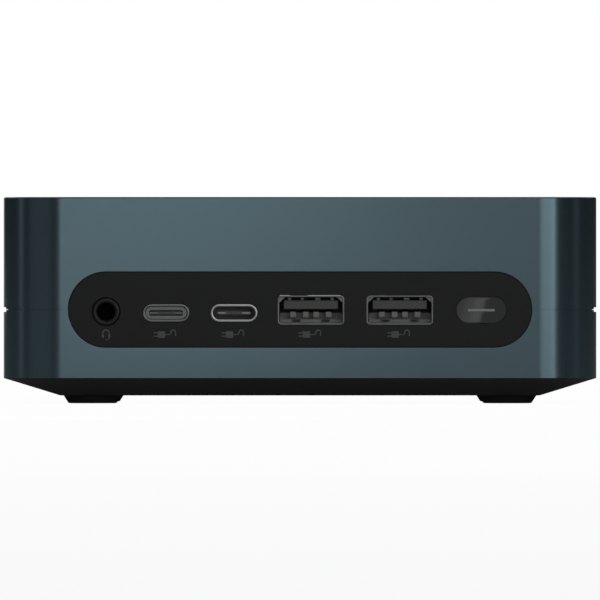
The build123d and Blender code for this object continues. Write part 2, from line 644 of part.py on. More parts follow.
def ssd_standoff():
    body = rod(40.0, SSD_Y, 2.6, SSD_Z + 0.4, BOARD_LOW)
    return body - rod(40.0, SSD_Y, 0.8, SSD_Z, BOARD_LOW - 0.3)


def ssd_screw():
    return screw(40.0, SSD_Y, SSD_Z - 1.3, 2.4, 0.9, 0.75, BOARD_LOW - 0.6)


WIFI_Y, WIFI_Z = 39.0, BOARD_LOW - 2.2


def wifi_socket():
    body = block(-24, -16, WIFI_Y - 11.4, WIFI_Y + 11.4, BOARD_LOW - 3.4, BOARD_LOW)
    return body - block(-17.6, -15, WIFI_Y - 11.05, WIFI_Y + 11.05, WIFI_Z - 0.45, WIFI_Z + 0.45)


def wifi_card():
    """The radio card under a folded steel lid, with two round aerial sockets."""
    card = block(-17.5, 12.5, WIFI_Y - 11, WIFI_Y + 11, WIFI_Z - 0.4, WIFI_Z + 0.4)
    card -= rod(12.5, WIFI_Y, 1.8, WIFI_Z - 1, WIFI_Z + 1)
    card += block(-13.5, 4.5, WIFI_Y - 9.8, WIFI_Y + 9.8, WIFI_Z - 1.8, WIFI_Z - 0.4)
    for side in (-1, 1):
        card += rod(8.5, WIFI_Y + side * 7.5, 1.1, WIFI_Z - 1.2, WIFI_Z - 0.4)
    return card


AERIAL_X, AERIAL_Y0, AERIAL_Y1 = 41.0, -22.0, 16.0


def aerials():
    """Two thin aerial plates stuck to the plastic floor, where the metal shell doesn't hide them."""
    return several(
        block(side * AERIAL_X - 3.5, side * AERIAL_X + 3.5, AERIAL_Y0, AERIAL_Y1, FLOOR_Z, FLOOR_Z + 0.6)
        for side in (-1, 1)
    )


def lead(points, radii, diameter):
    """A thin round lead along straight runs joined by arcs."""
    path = FilletPolyline(*points, radius=radii)
    start = Plane(origin=path @ 0, z_dir=path % 0)
    return sweep(start * Circle(diameter / 2), path)


def aerial_leads():
    """The two coaxial leads from the radio card to the aerials, along the floor."""
    top = WIFI_Z - 1.2
    floor = FLOOR_Z + 1.2
    pieces = []
    for side in (-1, 1):
        y = WIFI_Y + side * 7.5
        run = y - 2 - side * 1.5
        turn_x = side * 33.0
        first_x = 14.0 if side > 0 else 6.0
        points = [(8.5, y, top), (8.5, y, top - 1.4), (first_x, y - 3.5, floor + 0.4),
                  (turn_x, run - 9, floor),
                  (side * AERIAL_X, 26, floor), (side * AERIAL_X, AERIAL_Y1 - 2, FLOOR_Z + 1.15)]
        radii = [0.45 * 1.4, 1.8, 4.0, 4.0]
        pieces.append(lead(points, radii, 1.1))
    return several(pieces)


# ---------------------------------------------------------------- cooler


def heat_spreader():
    plate = Rectangle(52, 40)
    plate -= Pos(0, 26) * Rectangle(28, 18)
    plate -= Pos(0, -26) * Rectangle(28, 18)
    plate = Pos(FAN_X, FAN_Y) * plate
    body = prism_z(plate, SPREADER_Z, SPREADER_Z + SPREADER_T)
    for x, y in cooler_points():
        body -= rod(x, y, 1.4, SPREADER_Z - 1, SPREADER_Z + 5)
    return body


def heat_pipes():
    """Two flattened copper pipes that run from the spreader to the underside of the fins."""
    low = SPREADER_Z + SPREADER_T + PIPE_T / 2 + 0.01
    high = VENT_Z0 + 0.1 - PIPE_T / 2
    path = FilletPolyline((-16, low), (27, low), (35, high), (51, high), radius=6)
    strip = trace(path, PIPE_T)
    pieces = []
    for offset in (-8, 8):
        plane = Plane.YZ.offset(FAN_X + offset - PIPE_W / 2)
        pieces.append(extrude(plane * strip, PIPE_W))
    return several(pieces)


def fin_stack():
    low, high = VENT_Z0 + 0.12, FAN_TOP_Z - 0.6
    body = block(FINS_X0, FINS_X1, FINS_Y0, FINS_Y1, low, low + 0.5)
    body += block(FINS_X0, FINS_X1, FINS_Y0, FINS_Y1, high - 0.5, high)
    count = int((FINS_X1 - FINS_X0 - FIN_T) / FIN_PITCH) + 1
    fins = [
        block(FINS_X0 + i * FIN_PITCH, FINS_X0 + i * FIN_PITCH + FIN_T, FINS_Y0, FINS_Y1, low, high)
        for i in range(count)
    ]
    return body + fins


def fan_housing():
    """The blower's tray: a floor with an inlet and a hub plate, a wall, and an outlet towards the fins."""
    x0, x1 = FAN_X - FAN_SIDE / 2, FAN_X + FAN_SIDE / 2
    y0, y1 = FAN_Y - FAN_SIDE / 2, FINS_Y0 - 0.1
    plan = Pos((x0 + x1) / 2, (y0 + y1) / 2) * Rectangle(x1 - x0, y1 - y0)
    plan = fillet(plan.vertices().group_by(Axis.Y)[0], 20)
    top = FAN_TOP_Z - 1.0
    body = prism_z(plan, FAN_LOW_Z, top)
    inside = offset(plan, -FAN_WALL) + Pos((x0 + x1) / 2, y1) * Rectangle(x1 - x0 - 2 * FAN_WALL, 12)
    body -= prism_z(inside, FAN_LOW_Z + FAN_WALL, top + 1)
    inlet = Circle(19) - Circle(HUB_R)
    for angle in (90, 210, 330):
        inlet -= Rot(0, 0, angle) * Pos(15, 0) * Rectangle(12, 2.4)
    body -= prism_z(Pos(FAN_X, FAN_Y) * inlet, FAN_LOW_Z - 1, FAN_LOW_Z + FAN_WALL + 0.01)
    body += rod(FAN_X, FAN_Y, SLEEVE_R, FAN_LOW_Z + 0.5, FAN_TOP_Z - 2.4)
    for x, y in FAN_LEGS:
        body += rod(x, y, 1.8, BOARD_TOP, FAN_LOW_Z + 0.5)
    return body - rod(FAN_X, FAN_Y, SHAFT_R + 0.05, FAN_LOW_Z + FAN_WALL, FAN_TOP_Z)


def fan_cover():
    x0, x1 = FAN_X - FAN_SIDE / 2, FAN_X + FAN_SIDE / 2
    y0, y1 = FAN_Y - FAN_SIDE / 2, FINS_Y0 - 0.1
    plan = Pos((x0 + x1) / 2, (y0 + y1) / 2) * Rectangle(x1 - x0, y1 - y0)
    plan = fillet(plan.vertices().group_by(Axis.Y)[0], 20)
    plan -= Pos(FAN_X, FAN_Y) * Circle(20)
    return prism_z(plan, FAN_TOP_Z - 1.0, FAN_TOP_Z)


def fan_coil():
    """The motor's wound coil, fixed round the bearing sleeve."""
    body = rod(FAN_X, FAN_Y, 8.4, FAN_LOW_Z + FAN_WALL, FAN_LOW_Z + 6.5)
    for i in range(6):
        cut = Pos(FAN_X, FAN_Y, 0) * Rot(0, 0, 60 * i) * Pos(7.4, 0, FAN_LOW_Z + 4.5) * Box(3.0, 1.6, 5.0)
        body -= cut
    return body - rod(FAN_X, FAN_Y, SLEEVE_R + 0.02, FAN_LOW_Z, 35)


def polar(radius, angle):
    return (radius * cos(radians(angle)), radius * sin(radians(angle)))


def fan_rotor():
    """The impeller: a hub cup on a shaft, with back-swept blades tied by a thin ring."""
    low, high = FAN_LOW_Z + FAN_WALL + 0.7, FAN_TOP_Z - 1.4
    middle = (low + high) / 2
    body = rod(0, 0, HUB_R, low, high) - rod(0, 0, HUB_R - 1.2, low - 1, high - 0.8)
    body += rod(0, 0, SHAFT_R, low + 1.5, high)
    sweep_line = ThreePointArc(polar(HUB_R - 0.4, 0), polar(18.5, 7), polar(ROTOR_R - 0.2, 24))
    blade = prism_z(trace(sweep_line, BLADE_T), low + 0.7, high - 0.7)
    body += [Rot(0, 0, 360 / BLADES * i) * blade for i in range(BLADES)]
    tie = Circle(ROTOR_R) - Circle(ROTOR_R - 1.0)
    body += prism_z(tie, middle - 0.4, middle + 0.4)
    return Pos(FAN_X, FAN_Y, 0) * body


def fan_lead():
    """The fan's lead and the plug that holds it on the board."""
    plug = block(17, 22, 26.5, 31.5, BOARD_TOP, BOARD_TOP + 3)
    x = FAN_X + FAN_SIDE / 2 + 0.05
    wire = lead([(x, 29, 31), (15, 29, 31), (19.5, 29, 26), (19.5, 29, BOARD_TOP + 2.8)], [1.2, 1.8], 1.3)
    return plug + wire


def cooler_screws():
    seat = SPREADER_Z + SPREADER_T
    return several(screw_down(x, y, seat, 2.3, 1.2, 1.1, BOARD_LOW) for x, y in cooler_points())


# ---------------------------------------------------------------- writing the pieces


def front_ports():
    """Shells, plastic and contacts of the USB ports in the front panel."""
    back_a, back_c = PORT_FACE_Y + USB_A_DEPTH, PORT_FACE_Y + USB_C_DEPTH
    shells_a, tongues_a, shells_c, tongues_c, contacts = [], [], [], [], []
    for x in USB_A_X:
        shells_a.append(usb_a_shell(x, USB_A_Z, PORT_FACE_Y, back_a))
        tongues_a.append(usb_a_insulator(x, USB_A_Z, PORT_FACE_Y, back_a))
        contacts += usb_a_contacts(x, USB_A_Z, PORT_FACE_Y, back_a)
    for x in USB_C_X:
        shells_c.append(usb_c_shell(x, USB_C_Z, PORT_FACE_Y, back_c, back_c - 2))
        tongues_c.append(usb_c_insulator(x, USB_C_Z, PORT_FACE_Y, back_c, collar=x == USB_C_X[0]))
        contacts += usb_c_contacts(x, USB_C_Z, PORT_FACE_Y, back_c)
    return {
        "front_usb_a_shells": several(shells_a),
        "front_usb_a_tongues": several(tongues_a),
        "front_usb_c_shells": several(shells_c),
        "front_usb_c_tongues": several(tongues_c),
        "front_usb_contacts": several(contacts),
    }


def rear_ports():
    """Shell, plastic and contacts of each USB port in the rear panel."""
    made = {}
    closed_c = REAR_FACE_Y - USB_C_DEPTH
    shells = [usb_a_shell(x, BOARD_PORT_Z, PORT_BACK_Y, REAR_FACE_Y) for x in REAR_USB_A_X]
    tongues = [usb_a_insulator(x, BOARD_PORT_Z, REAR_FACE_Y, PORT_BACK_Y) for x in REAR_USB_A_X]
    fingers = [f for x in REAR_USB_A_X for f in usb_a_contacts(x, BOARD_PORT_Z, REAR_FACE_Y, PORT_BACK_Y)]
    made["rear_usb_a_shells"] = several(shells)
    made["rear_usb_a_tongues"] = several(tongues)
    made["rear_usb_c_shell"] = usb_c_shell(REAR_USB_C_X, REAR_C_Z, closed_c, REAR_FACE_Y, closed_c + 0.4)
    made["rear_usb_c_tongue"] = usb_c_insulator(REAR_USB_C_X, REAR_C_Z, REAR_FACE_Y, closed_c)
    pads = usb_c_contacts(REAR_USB_C_X, REAR_C_Z, REAR_FACE_Y, closed_c)
    made["rear_usb_contacts"] = several(fingers + pads)
    return made


def all_pieces():
    pieces = {
        "upper_shell": upper_shell(),
        "lower_shell": lower_shell(),
        "base_cover": base_cover(),
        "mount_inserts": mount_inserts(),
        "feet": several(foot(sx, sy) for sx, sy in CORNERS),
        "base_screws": base_screws(),
        "shell_screws": shell_screws(),
        "board_standoffs": board_standoffs(),
        "front_port_panel": front_port_panel(),
        "headset_jack": headset_jack(),
        "power_button": power_button(),
        "button_light": button_light(),
        "power_switch": power_switch(),
        "switch_plunger": switch_plunger(),
        "rear_port_panel": rear_port_panel(),
        "hdmi_shell": hdmi_shell(),
        "hdmi_tongue": hdmi_insulator(),
        "ethernet_shield": ethernet_shield(),
        "ethernet_insert": ethernet_insert(),
        "ethernet_lamps": ethernet_lamps(),
        "ethernet_contacts": ethernet_contacts(),
        "dc_jack": dc_jack(),
        "dc_pin": dc_pin(),
        "motherboard": motherboard(),
        "processor": processor(),
        "power_chokes": power_chokes(),
        "capacitors": capacitors(),
        "board_chips": board_chips(),
        "coin_cell_holder": coin_cell_holder(),
        "coin_cell": coin_cell(),
        "ram_socket": ram_socket(),
        "ram_latches": ram_latches(),
        "ram_modules": several(ram_module(z) for z in RAM_Z),
        "ssd_socket": ssd_socket(),
        "ssd_card": ssd_card(),
        "ssd_standoff": ssd_standoff(),
        "ssd_screw": ssd_screw(),
        "wifi_socket": wifi_socket(),
        "wifi_card": wifi_card(),
        "aerials": aerials(),
        "aerial_leads": aerial_leads(),
        "heat_spreader": heat_spreader(),
        "heat_pipes": heat_pipes(),
        "fin_stack": fin_stack(),
        "fan_housing": fan_housing(),
        "fan_cover": fan_cover(),
        "fan_coil": fan_coil(),
        "fan_lead": fan_lead(),
        "fan_rotor": fan_rotor(),
        "cooler_screws": cooler_screws(),
    }
    pieces.update(front_ports())
    pieces.update(rear_ports())
    return pieces


os.makedirs("parts", exist_ok=True)
for name, piece in all_pieces().items():
    export_step(piece, f"parts/{name}.step")
    print(name, round(piece.volume))
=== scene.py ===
# %% [markdown]
# # A small desktop computer, built around its imported frame
# The engineering model gives every solid its true size and place. This script loads it as a fixed
# frame, rebuilds the pieces that show with cleaner meshes, and gives each one a finish.
# The first cell loads the frame and keeps its outer box, which gives the sizes of the case.

# %% Load the imported frame
import json
from math import cos, hypot, pi, radians, sin

import bmesh
import bpy
from mathutils import Matrix, Vector


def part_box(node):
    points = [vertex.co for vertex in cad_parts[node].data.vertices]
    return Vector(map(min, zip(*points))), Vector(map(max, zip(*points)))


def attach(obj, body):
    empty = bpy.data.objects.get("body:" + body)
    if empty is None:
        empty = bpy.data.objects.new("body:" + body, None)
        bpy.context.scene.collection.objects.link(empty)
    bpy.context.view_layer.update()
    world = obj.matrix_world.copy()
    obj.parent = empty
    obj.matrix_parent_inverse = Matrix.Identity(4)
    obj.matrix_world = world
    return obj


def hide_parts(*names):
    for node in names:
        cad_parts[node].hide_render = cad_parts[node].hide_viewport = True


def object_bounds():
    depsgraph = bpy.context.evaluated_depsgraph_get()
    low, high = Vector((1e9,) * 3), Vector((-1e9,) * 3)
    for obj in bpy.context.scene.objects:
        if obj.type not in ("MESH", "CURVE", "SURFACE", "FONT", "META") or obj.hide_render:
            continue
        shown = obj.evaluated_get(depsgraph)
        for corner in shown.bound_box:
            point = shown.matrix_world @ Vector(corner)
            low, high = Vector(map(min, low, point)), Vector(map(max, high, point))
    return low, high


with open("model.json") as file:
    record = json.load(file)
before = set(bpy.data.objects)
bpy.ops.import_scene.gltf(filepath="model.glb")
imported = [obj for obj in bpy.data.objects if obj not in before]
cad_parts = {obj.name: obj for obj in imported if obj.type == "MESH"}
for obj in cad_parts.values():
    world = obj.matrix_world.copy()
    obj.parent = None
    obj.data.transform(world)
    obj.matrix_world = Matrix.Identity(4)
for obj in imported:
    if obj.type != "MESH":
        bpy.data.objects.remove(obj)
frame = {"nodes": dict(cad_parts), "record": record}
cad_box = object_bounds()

MM = 0.001
half_width, half_depth, top_z = cad_box[1]
print("case, mm:", [round(2 * half_width / MM, 2), round(2 * half_depth / MM, 2), round(top_z / MM, 2)])

# %% [markdown]
# ## Camera
# A product shot of a small box is taken from far away with a long lens, so that its sides don't
# open up. The camera stands level, at half the height of the case, and looks along +Y.
# The field of view follows from the width that the frame must show at the front face.

# %% Camera
CAMERA_DISTANCE = 4.5
SHOWN_WIDTH = 0.11817  # at the front face
CAMERA_HEIGHT = 0.0204

camera_data = bpy.data.cameras.new("camera")
camera_data.lens = camera_data.sensor_width * CAMERA_DISTANCE / SHOWN_WIDTH
camera_data.clip_end = 50
camera = bpy.data.objects.new("camera", camera_data)
camera.location = (0, -half_depth - CAMERA_DISTANCE, CAMERA_HEIGHT)
camera.rotation_euler = (pi / 2, 0, 0)
bpy.context.scene.collection.objects.link(camera)
bpy.context.scene.camera = camera
bpy.context.scene.view_settings.view_transform = "Standard"
print("lens, mm:", round(camera_data.lens, 1))

# %% [markdown]
# ## Light
# Satin metal is a blurred mirror, so it shows the lights and not much else. The flat front reflects
# what stands round the camera: one soft panel a little to the left. The rounded right corner turns
# its reflection to the side and picks up a second panel there as an upright bright band. Everything
# further round is kept dim, which makes the corners fall off. Each softbox is an area light that
# looks at the case, placed by its angle from the camera's line. The lights behind serve the top and
# the rear, and the front can't see them.

# %% Softboxes
def softbox(name, azimuth, elevation, distance, size, glow, roll=0.0, aim_x=0.0):
    """An area light of radiance glow, azimuth degrees to the right of the camera and elevation up."""
    data = bpy.data.lights.new(name, "AREA")
    data.shape = "RECTANGLE"
    data.size, data.size_y = size
    data.energy = glow * pi * size[0] * size[1]
    light = bpy.data.objects.new(name, data)
    light.visible_camera = False
    a, e = radians(azimuth), radians(elevation)
    place = Vector((sin(a) * cos(e), -cos(a) * cos(e), sin(e))) * distance
    turn = (-place).to_track_quat("-Z", "Y").to_matrix().to_4x4()
    target = Vector((aim_x, 0, top_z / 2))
    light.matrix_world = Matrix.Translation(place + target) @ turn @ Matrix.Rotation(radians(roll), 4, "Z")
    bpy.context.scene.collection.objects.link(light)


softbox("panel_by_camera", -3.9, 0, 0.658, (0.100, 0.70), 0.535, roll=-8)
softbox("panel_right", 19.7, 2, 1.9, (1.02, 1.2), 0.74)
softbox("edge_of_panel_right", 30.4, 2, 1.8, (0.16, 1.2), 0.5)
softbox("strip_left", -86.5, 3, 1.5, (0.26, 0.9), 0.16)
softbox("fill_left", -44, 3, 1.7, (1.3, 0.9), 0.066)
softbox("strip_right", 80, 3, 1.5, (0.36, 0.9), 0.06)
softbox("ceiling", 180, 62, 1.5, (1.4, 1.0), 0.45)
softbox("back_left", -165, 12, 1.7, (0.5, 0.9), 0.35)
softbox("back_right", 162, 12, 1.7, (0.5, 0.9), 0.05)
softbox("high_back_left", -142, 31, 1.7, (1.3, 0.6), 0.34)
softbox("high_back_right", 142, 31, 1.7, (1.3, 0.6), 0.22)
print("softboxes", len(bpy.data.lights))

# %% [markdown]
# The polished power button is nearly a true mirror, so it can show a light that the satin surfaces
# blur away: a small leaning card whose right edge crosses the button. Three narrow strips side by
# side, each dimmer than the one to its right, make the card fade towards the left.

# %% Card strips for the button
CARD_RIGHT_X = 0.0402
STRIP_W, STRIP_H, STRIP_LEAN = 0.0021, 0.014, -14
STRIP_STEP = 0.00216  # the width of a leaning strip along X

for number, glow in enumerate((1.00, 0.62, 0.30)):
    softbox(f"button_card_{number}", 0, 0.05, 0.5, (STRIP_W, STRIP_H), glow, roll=STRIP_LEAN,
            aim_x=CARD_RIGHT_X - (number + 0.5) * STRIP_STEP)
print("all lights", len(bpy.data.lights))

# %% [markdown]
# ## Surroundings
# The room is a white sweep. To the camera the floor and the background are the same near-white,
# with a soft shadow under the case. What the metal reflects is another matter: there the sky is dark
# at the horizon and brighter overhead, as between flags and a ceiling panel. The Light Path node
# tells a ray that comes straight from the camera from one that has bounced.

# %% Sky
def add_nodes(tree, *kinds):
    return [tree.nodes.new("ShaderNode" + kind) for kind in kinds]


def wire(tree, *pairs):
    """Links each output to the input it is paired with."""
    for output, socket in pairs:
        tree.links.new(output, socket)


def build_sky():
    """A world that is white to the camera, and a dim gradient to everything else."""
    world = bpy.data.worlds.new("studio")
    bpy.context.scene.world = world
    world.use_nodes = True
    tree = world.node_tree
    tree.nodes.clear()
    out, mix, seen, felt, path, where, split, rise = add_nodes(
        tree, "OutputWorld", "MixShader", "Background", "Background", "LightPath", "TexCoord", "SeparateXYZ",
        "MapRange")
    seen.inputs["Color"].default_value = (1, 1, 1, 1)
    felt.inputs["Color"].default_value = (0.9, 0.96, 1, 1)
    for label, value in (("From Min", 0.1), ("From Max", 1.0), ("To Min", 0.004), ("To Max", 0.16)):
        rise.inputs[label].default_value = value
    wire(tree, (where.outputs["Generated"], split.inputs[0]), (split.outputs["Z"], rise.inputs["Value"]),
         (rise.outputs["Result"], felt.inputs["Strength"]), (path.outputs["Is Camera Ray"], mix.inputs[0]),
         (felt.outputs[0], mix.inputs[1]), (seen.outputs[0], mix.inputs[2]),
         (mix.outputs[0], out.inputs["Surface"]))
    return world


print("sky:", build_sky().name)

# %% [markdown]
# The floor is one large face. Seen by the camera it is pale paper with a little light of its own, and
# it turns fully white towards the horizon. Other rays find a darker grey that glows only weakly, so it
# lights the underside without brightening the corners.

# %% Floor
def floor_finish():
    material = bpy.data.materials.new("pale_floor")
    material.use_nodes = True
    tree = material.node_tree
    tree.nodes.clear()
    out, pick, sweep, seen, felt, path, facing, grazing = add_nodes(
        tree, "OutputMaterial", "MixShader", "MixShader", "AddShader", "AddShader", "LightPath",
        "LayerWeight", "Math")
    paper, cloth, lift, low, white = add_nodes(tree, *["BsdfDiffuse"] * 2, *["Emission"] * 3)
    for paint, tone in ((paper, 0.8), (cloth, 0.5)):
        paint.inputs["Color"].default_value = (tone, tone, tone, 1)
    for light, strength in ((lift, 0.66), (low, 0.022), (white, 1.0)):
        light.inputs["Strength"].default_value = strength
    grazing.operation, grazing.inputs[1].default_value = "POWER", 20
    wire(tree, (facing.outputs["Facing"], grazing.inputs[0]), (paper.outputs[0], seen.inputs[0]),
         (lift.outputs[0], seen.inputs[1]), (cloth.outputs[0], felt.inputs[0]),
         (low.outputs[0], felt.inputs[1]), (grazing.outputs[0], sweep.inputs[0]),
         (seen.outputs[0], sweep.inputs[1]), (white.outputs[0], sweep.inputs[2]),
         (path.outputs["Is Camera Ray"], pick.inputs[0]), (felt.outputs[0], pick.inputs[1]),
         (sweep.outputs[0], pick.inputs[2]), (pick.outputs[0], out.inputs["Surface"]))
    return material


def build_floor():
    bm = bmesh.new()
    bmesh.ops.create_grid(bm, x_segments=1, y_segments=1, size=4)
    mesh = bpy.data.meshes.new("floor")
    bm.to_mesh(mesh)
    bm.free()
    mesh.materials.append(floor_finish())
    floor = bpy.data.objects.new("floor", mesh)
    bpy.context.scene.collection.objects.link(floor)
    return floor


print("floor at z", build_floor().location.z)

# %% [markdown]
# ## Effects that many finishes share
# Fine grain, broad changes of tone, worn edges and dust are each a node group, built once. A group
# puts out values between 0 and 1, and the material decides what they do. All of them read Object
# coordinates, in metres, so a grain of 0.2 mm is a noise of scale 5000.
# - Grain is what blasting, moulding or sparks leave. One noise looks like a repeated pattern, so two
#   of different sizes are averaged.
# - Handling gives soft patches, as left by fingers and by uneven dye, and finer streaks.
# - Edge wear compares the rounded normal of a Bevel node with the true one: where they differ there
#   is an edge. Noise breaks the line up.
# - Dust settles on faces that look up. A power of a noise gathers it in specks.

# %% Shared node groups
MM_PER_M = 1000.0
effects = {}


def new_group(name, inputs, outputs):
    """An empty shader group with named float inputs and outputs."""
    group = bpy.data.node_groups.new(name, "ShaderNodeTree")
    for label, value in inputs.items():
        socket = group.interface.new_socket(label, in_out="INPUT", socket_type="NodeSocketFloat")
        socket.default_value = value
    for label in outputs:
        group.interface.new_socket(label, in_out="OUTPUT", socket_type="NodeSocketFloat")
    effects[name] = group
    return group, group.nodes.new("NodeGroupInput"), group.nodes.new("NodeGroupOutput")


def feed(tree, socket, value):
    """Links an output to a socket, or sets the socket to a number or colour."""
    if isinstance(value, bpy.types.NodeSocket):
        tree.links.new(value, socket)
    else:
        socket.default_value = value


def math_node(tree, operation, *values):
    """The result of a Math node. Its values are numbers or output sockets."""
    node = tree.nodes.new("ShaderNodeMath")
    node.operation = operation
    for socket, value in zip(node.inputs, values):
        feed(tree, socket, value)
    return node.outputs[0]


def noise(group, scale, detail=2, bend=0):
    """The value of a noise of that scale, in Object coordinates."""
    where, node = add_nodes(group, "TexCoord", "TexNoise")
    node.inputs["Detail"].default_value, node.inputs["Distortion"].default_value = detail, bend
    wire(group, (where.outputs["Object"], node.inputs["Vector"]))
    feed(group, node.inputs["Scale"], scale)
    return node.outputs["Fac"]


def build_grain():
    group, start, end = new_group("grain", {"Size mm": 0.2, "Contrast": 1.0}, ("Tone", "Height"))
    scale = math_node(group, "DIVIDE", MM_PER_M, start.outputs["Size mm"])
    layers = [noise(group, math_node(group, "MULTIPLY", scale, factor)) for factor in (1.0, 2.7)]
    both = math_node(group, "MULTIPLY", math_node(group, "ADD", *layers), 0.5)
    offset = math_node(group, "SUBTRACT", both, 0.5)
    swing = math_node(group, "MULTIPLY", offset, start.outputs["Contrast"])
    wire(group, (math_node(group, "ADD", swing, 0.5), end.inputs["Tone"]), (both, end.inputs["Height"]))


def build_handling():
    group, start, end = new_group("handling", {"Patch mm": 25.0, "Streak mm": 1.5}, ("Patches", "Streaks"))
    for label, size, detail in (("Patches", "Patch mm", 3), ("Streaks", "Streak mm", 6)):
        scale = math_node(group, "DIVIDE", MM_PER_M, start.outputs[size])
        wire(group, (noise(group, scale, detail, 0.6), end.inputs[label]))


def build_edge_wear():
    group, start, end = new_group("edge_wear", {"Width mm": 0.2, "Amount": 0.5}, ("Mask",))
    bevel_node, here, dot = add_nodes(group, "Bevel", "NewGeometry", "VectorMath")
    bevel_node.samples, dot.operation = 4, "DOT_PRODUCT"
    width = math_node(group, "DIVIDE", start.outputs["Width mm"], MM_PER_M)
    wire(group, (width, bevel_node.inputs["Radius"]), (bevel_node.outputs[0], dot.inputs[0]),
         (here.outputs["True Normal"], dot.inputs[1]))
    fold = math_node(group, "MULTIPLY", math_node(group, "SUBTRACT", 1.0, dot.outputs["Value"]), 4.0)
    broken = math_node(group, "MINIMUM", math_node(group, "MULTIPLY", fold, noise(group, 900)), 1.0)
    wire(group, (math_node(group, "MULTIPLY", broken, start.outputs["Amount"]), end.inputs["Mask"]))


def build_dust():
    group, start, end = new_group("dust", {"Amount": 0.2}, ("Mask",))
    here, split = add_nodes(group, "NewGeometry", "SeparateXYZ")
    wire(group, (here.outputs["Normal"], split.inputs[0]))
    upward = math_node(group, "POWER", math_node(group, "MAXIMUM", split.outputs["Z"], 0.0), 4.0)
    specks = math_node(group, "POWER", noise(group, 1400, 6), 3.0)
    film = math_node(group, "MULTIPLY", upward, specks)
    wire(group, (math_node(group, "MULTIPLY", film, start.outputs["Amount"]), end.inputs["Mask"]))


for build in (build_grain, build_handling, build_edge_wear, build_dust):
    build()
print("effect groups", sorted(effects))

# %% [markdown]
# ## A finish from its parts
# Most finishes follow one plan: two close tones that the handling patches blend, a worn tone on the
# edges, roughness that the grain nudges, and a bump from the grain. Writing that plan once keeps each
# material to a short call. Numbers that are the same all over stay on the shader's own sockets.

# %% The common plan of a finish
DUST_TONE = (0.45, 0.44, 0.42, 1)
finishes = {}


def use(tree, effect, **values):
    """Places an effect group in a material and sets its inputs."""
    node = tree.nodes.new("ShaderNodeGroup")
    node.node_tree = effects[effect]
    for label, value in values.items():
        node.inputs[label.replace("_", " ")].default_value = value
    return node


def blend(tree, amount, a, b):
    """A colour mix. a and b are colours or output sockets."""
    node = tree.nodes.new("ShaderNodeMix")
    node.data_type = "RGBA"
    for socket, value in zip([s for s in node.inputs if s.enabled], (amount, a, b)):
        feed(tree, socket, value)
    return [s for s in node.outputs if s.enabled][0]


def grey(tone, blue=0.0):
    """A neutral tone, with a little more blue if asked."""
    return (tone, tone, tone + blue)


def finish(key, name, tones, metal=0.0, rough=0.4, rough_swing=0.1, grain_mm=0.2, bump_um=2.0,
           patch_mm=25.0, worn=None, wear=0.0, wear_mm=0.15, dust=0.0):
    """A material on the common plan, kept in finishes under key. worn is a grey or a colour."""
    material = bpy.data.materials.new(name)
    material.use_nodes = True
    tree = material.node_tree
    shader = tree.nodes["Principled BSDF"]
    shader.inputs["Metallic"].default_value = metal
    grain = use(tree, "grain", Size_mm=grain_mm)
    handling = use(tree, "handling", Patch_mm=patch_mm)
    colour = blend(tree, handling.outputs["Patches"], (*tones[0], 1), (*tones[1], 1))
    if wear:
        edge = use(tree, "edge_wear", Width_mm=wear_mm, Amount=wear)
        bare = worn if isinstance(worn, tuple) else grey(worn)
        colour = blend(tree, edge.outputs["Mask"], colour, (*bare, 1))
    if dust:
        colour = blend(tree, use(tree, "dust", Amount=dust).outputs["Mask"], colour, DUST_TONE)
    both = math_node(tree, "ADD", grain.outputs["Tone"], handling.outputs["Streaks"])
    swing = math_node(tree, "MULTIPLY", math_node(tree, "SUBTRACT", both, 1.0), rough_swing)
    bump = tree.nodes.new("ShaderNodeBump")
    bump.inputs["Distance"].default_value = bump_um * 1e-6
    bump.inputs["Strength"].default_value = 1.0
    wire(tree, (colour, shader.inputs["Base Color"]),
         (math_node(tree, "ADD", swing, rough), shader.inputs["Roughness"]),
         (grain.outputs["Height"], bump.inputs["Height"]), (bump.outputs[0], shader.inputs["Normal"]))
    finishes[key] = material


def greys(low, high, blue=0.0):
    return [grey(low, blue), grey(high, blue)]


print("plan ready, dust tone", DUST_TONE)

# %% [markdown]
# ## Finishes of the case
# The case is aluminium that was blasted with glass beads and dyed in the anodising bath: a metal with
# a blue-green tint, a fine even grain and a soft gloss. The base and panels are black moulded plastic
# with a spark-eroded texture, the button is polished, and the feet are rubber.

# %% Finishes of the case
finish("shell_aluminium", "anodised_aluminium", [(0.215, 0.325, 0.375), (0.232, 0.345, 0.395)], metal=1.0,
       rough=0.22, rough_swing=0.04, grain_mm=0.16, bump_um=0.5, patch_mm=30, worn=(0.36, 0.45, 0.49),
       wear=0.25, wear_mm=0.12, dust=0.05)
finish("base_plastic", "moulded_black_plastic", [(0.064, 0.064, 0.064), (0.076, 0.076, 0.075)], rough=0.42,
       rough_swing=0.12, grain_mm=0.3, bump_um=8, worn=0.05, wear=0.2, dust=0.1)
finish("panel_plastic", "satin_black_panel", [(0.0265, 0.0263, 0.0265), (0.0300, 0.0298, 0.0300)],
       rough=0.36, rough_swing=0.08, grain_mm=0.18, bump_um=3, worn=(0.04, 0.045, 0.047), wear=0.25)
finish("button_plastic", "polished_black_button", greys(0.165, 0.180), rough=0.02, rough_swing=0.01,
       grain_mm=0.8, bump_um=0.05, worn=0.06, wear=0.2)
finish("light_guide", "frosted_light_guide", greys(0.80, 0.88, 0.005), rough=0.35, grain_mm=0.1, bump_um=1)
finish("foot_rubber", "foot_rubber", greys(0.034, 0.042), rough=0.75, rough_swing=0.15, grain_mm=0.25,
       bump_um=14, dust=0.25)
finish("screw_steel", "black_screw_steel", greys(0.05, 0.07, 0.002), metal=1.0, rough=0.38, grain_mm=0.12,
       bump_um=2, worn=0.4, wear=0.6)
finish("printed_ink", "printed_grey_ink", greys(0.26, 0.32), rough=0.55, grain_mm=0.12, bump_um=3,
       patch_mm=1)
print("finishes", sorted(finishes))
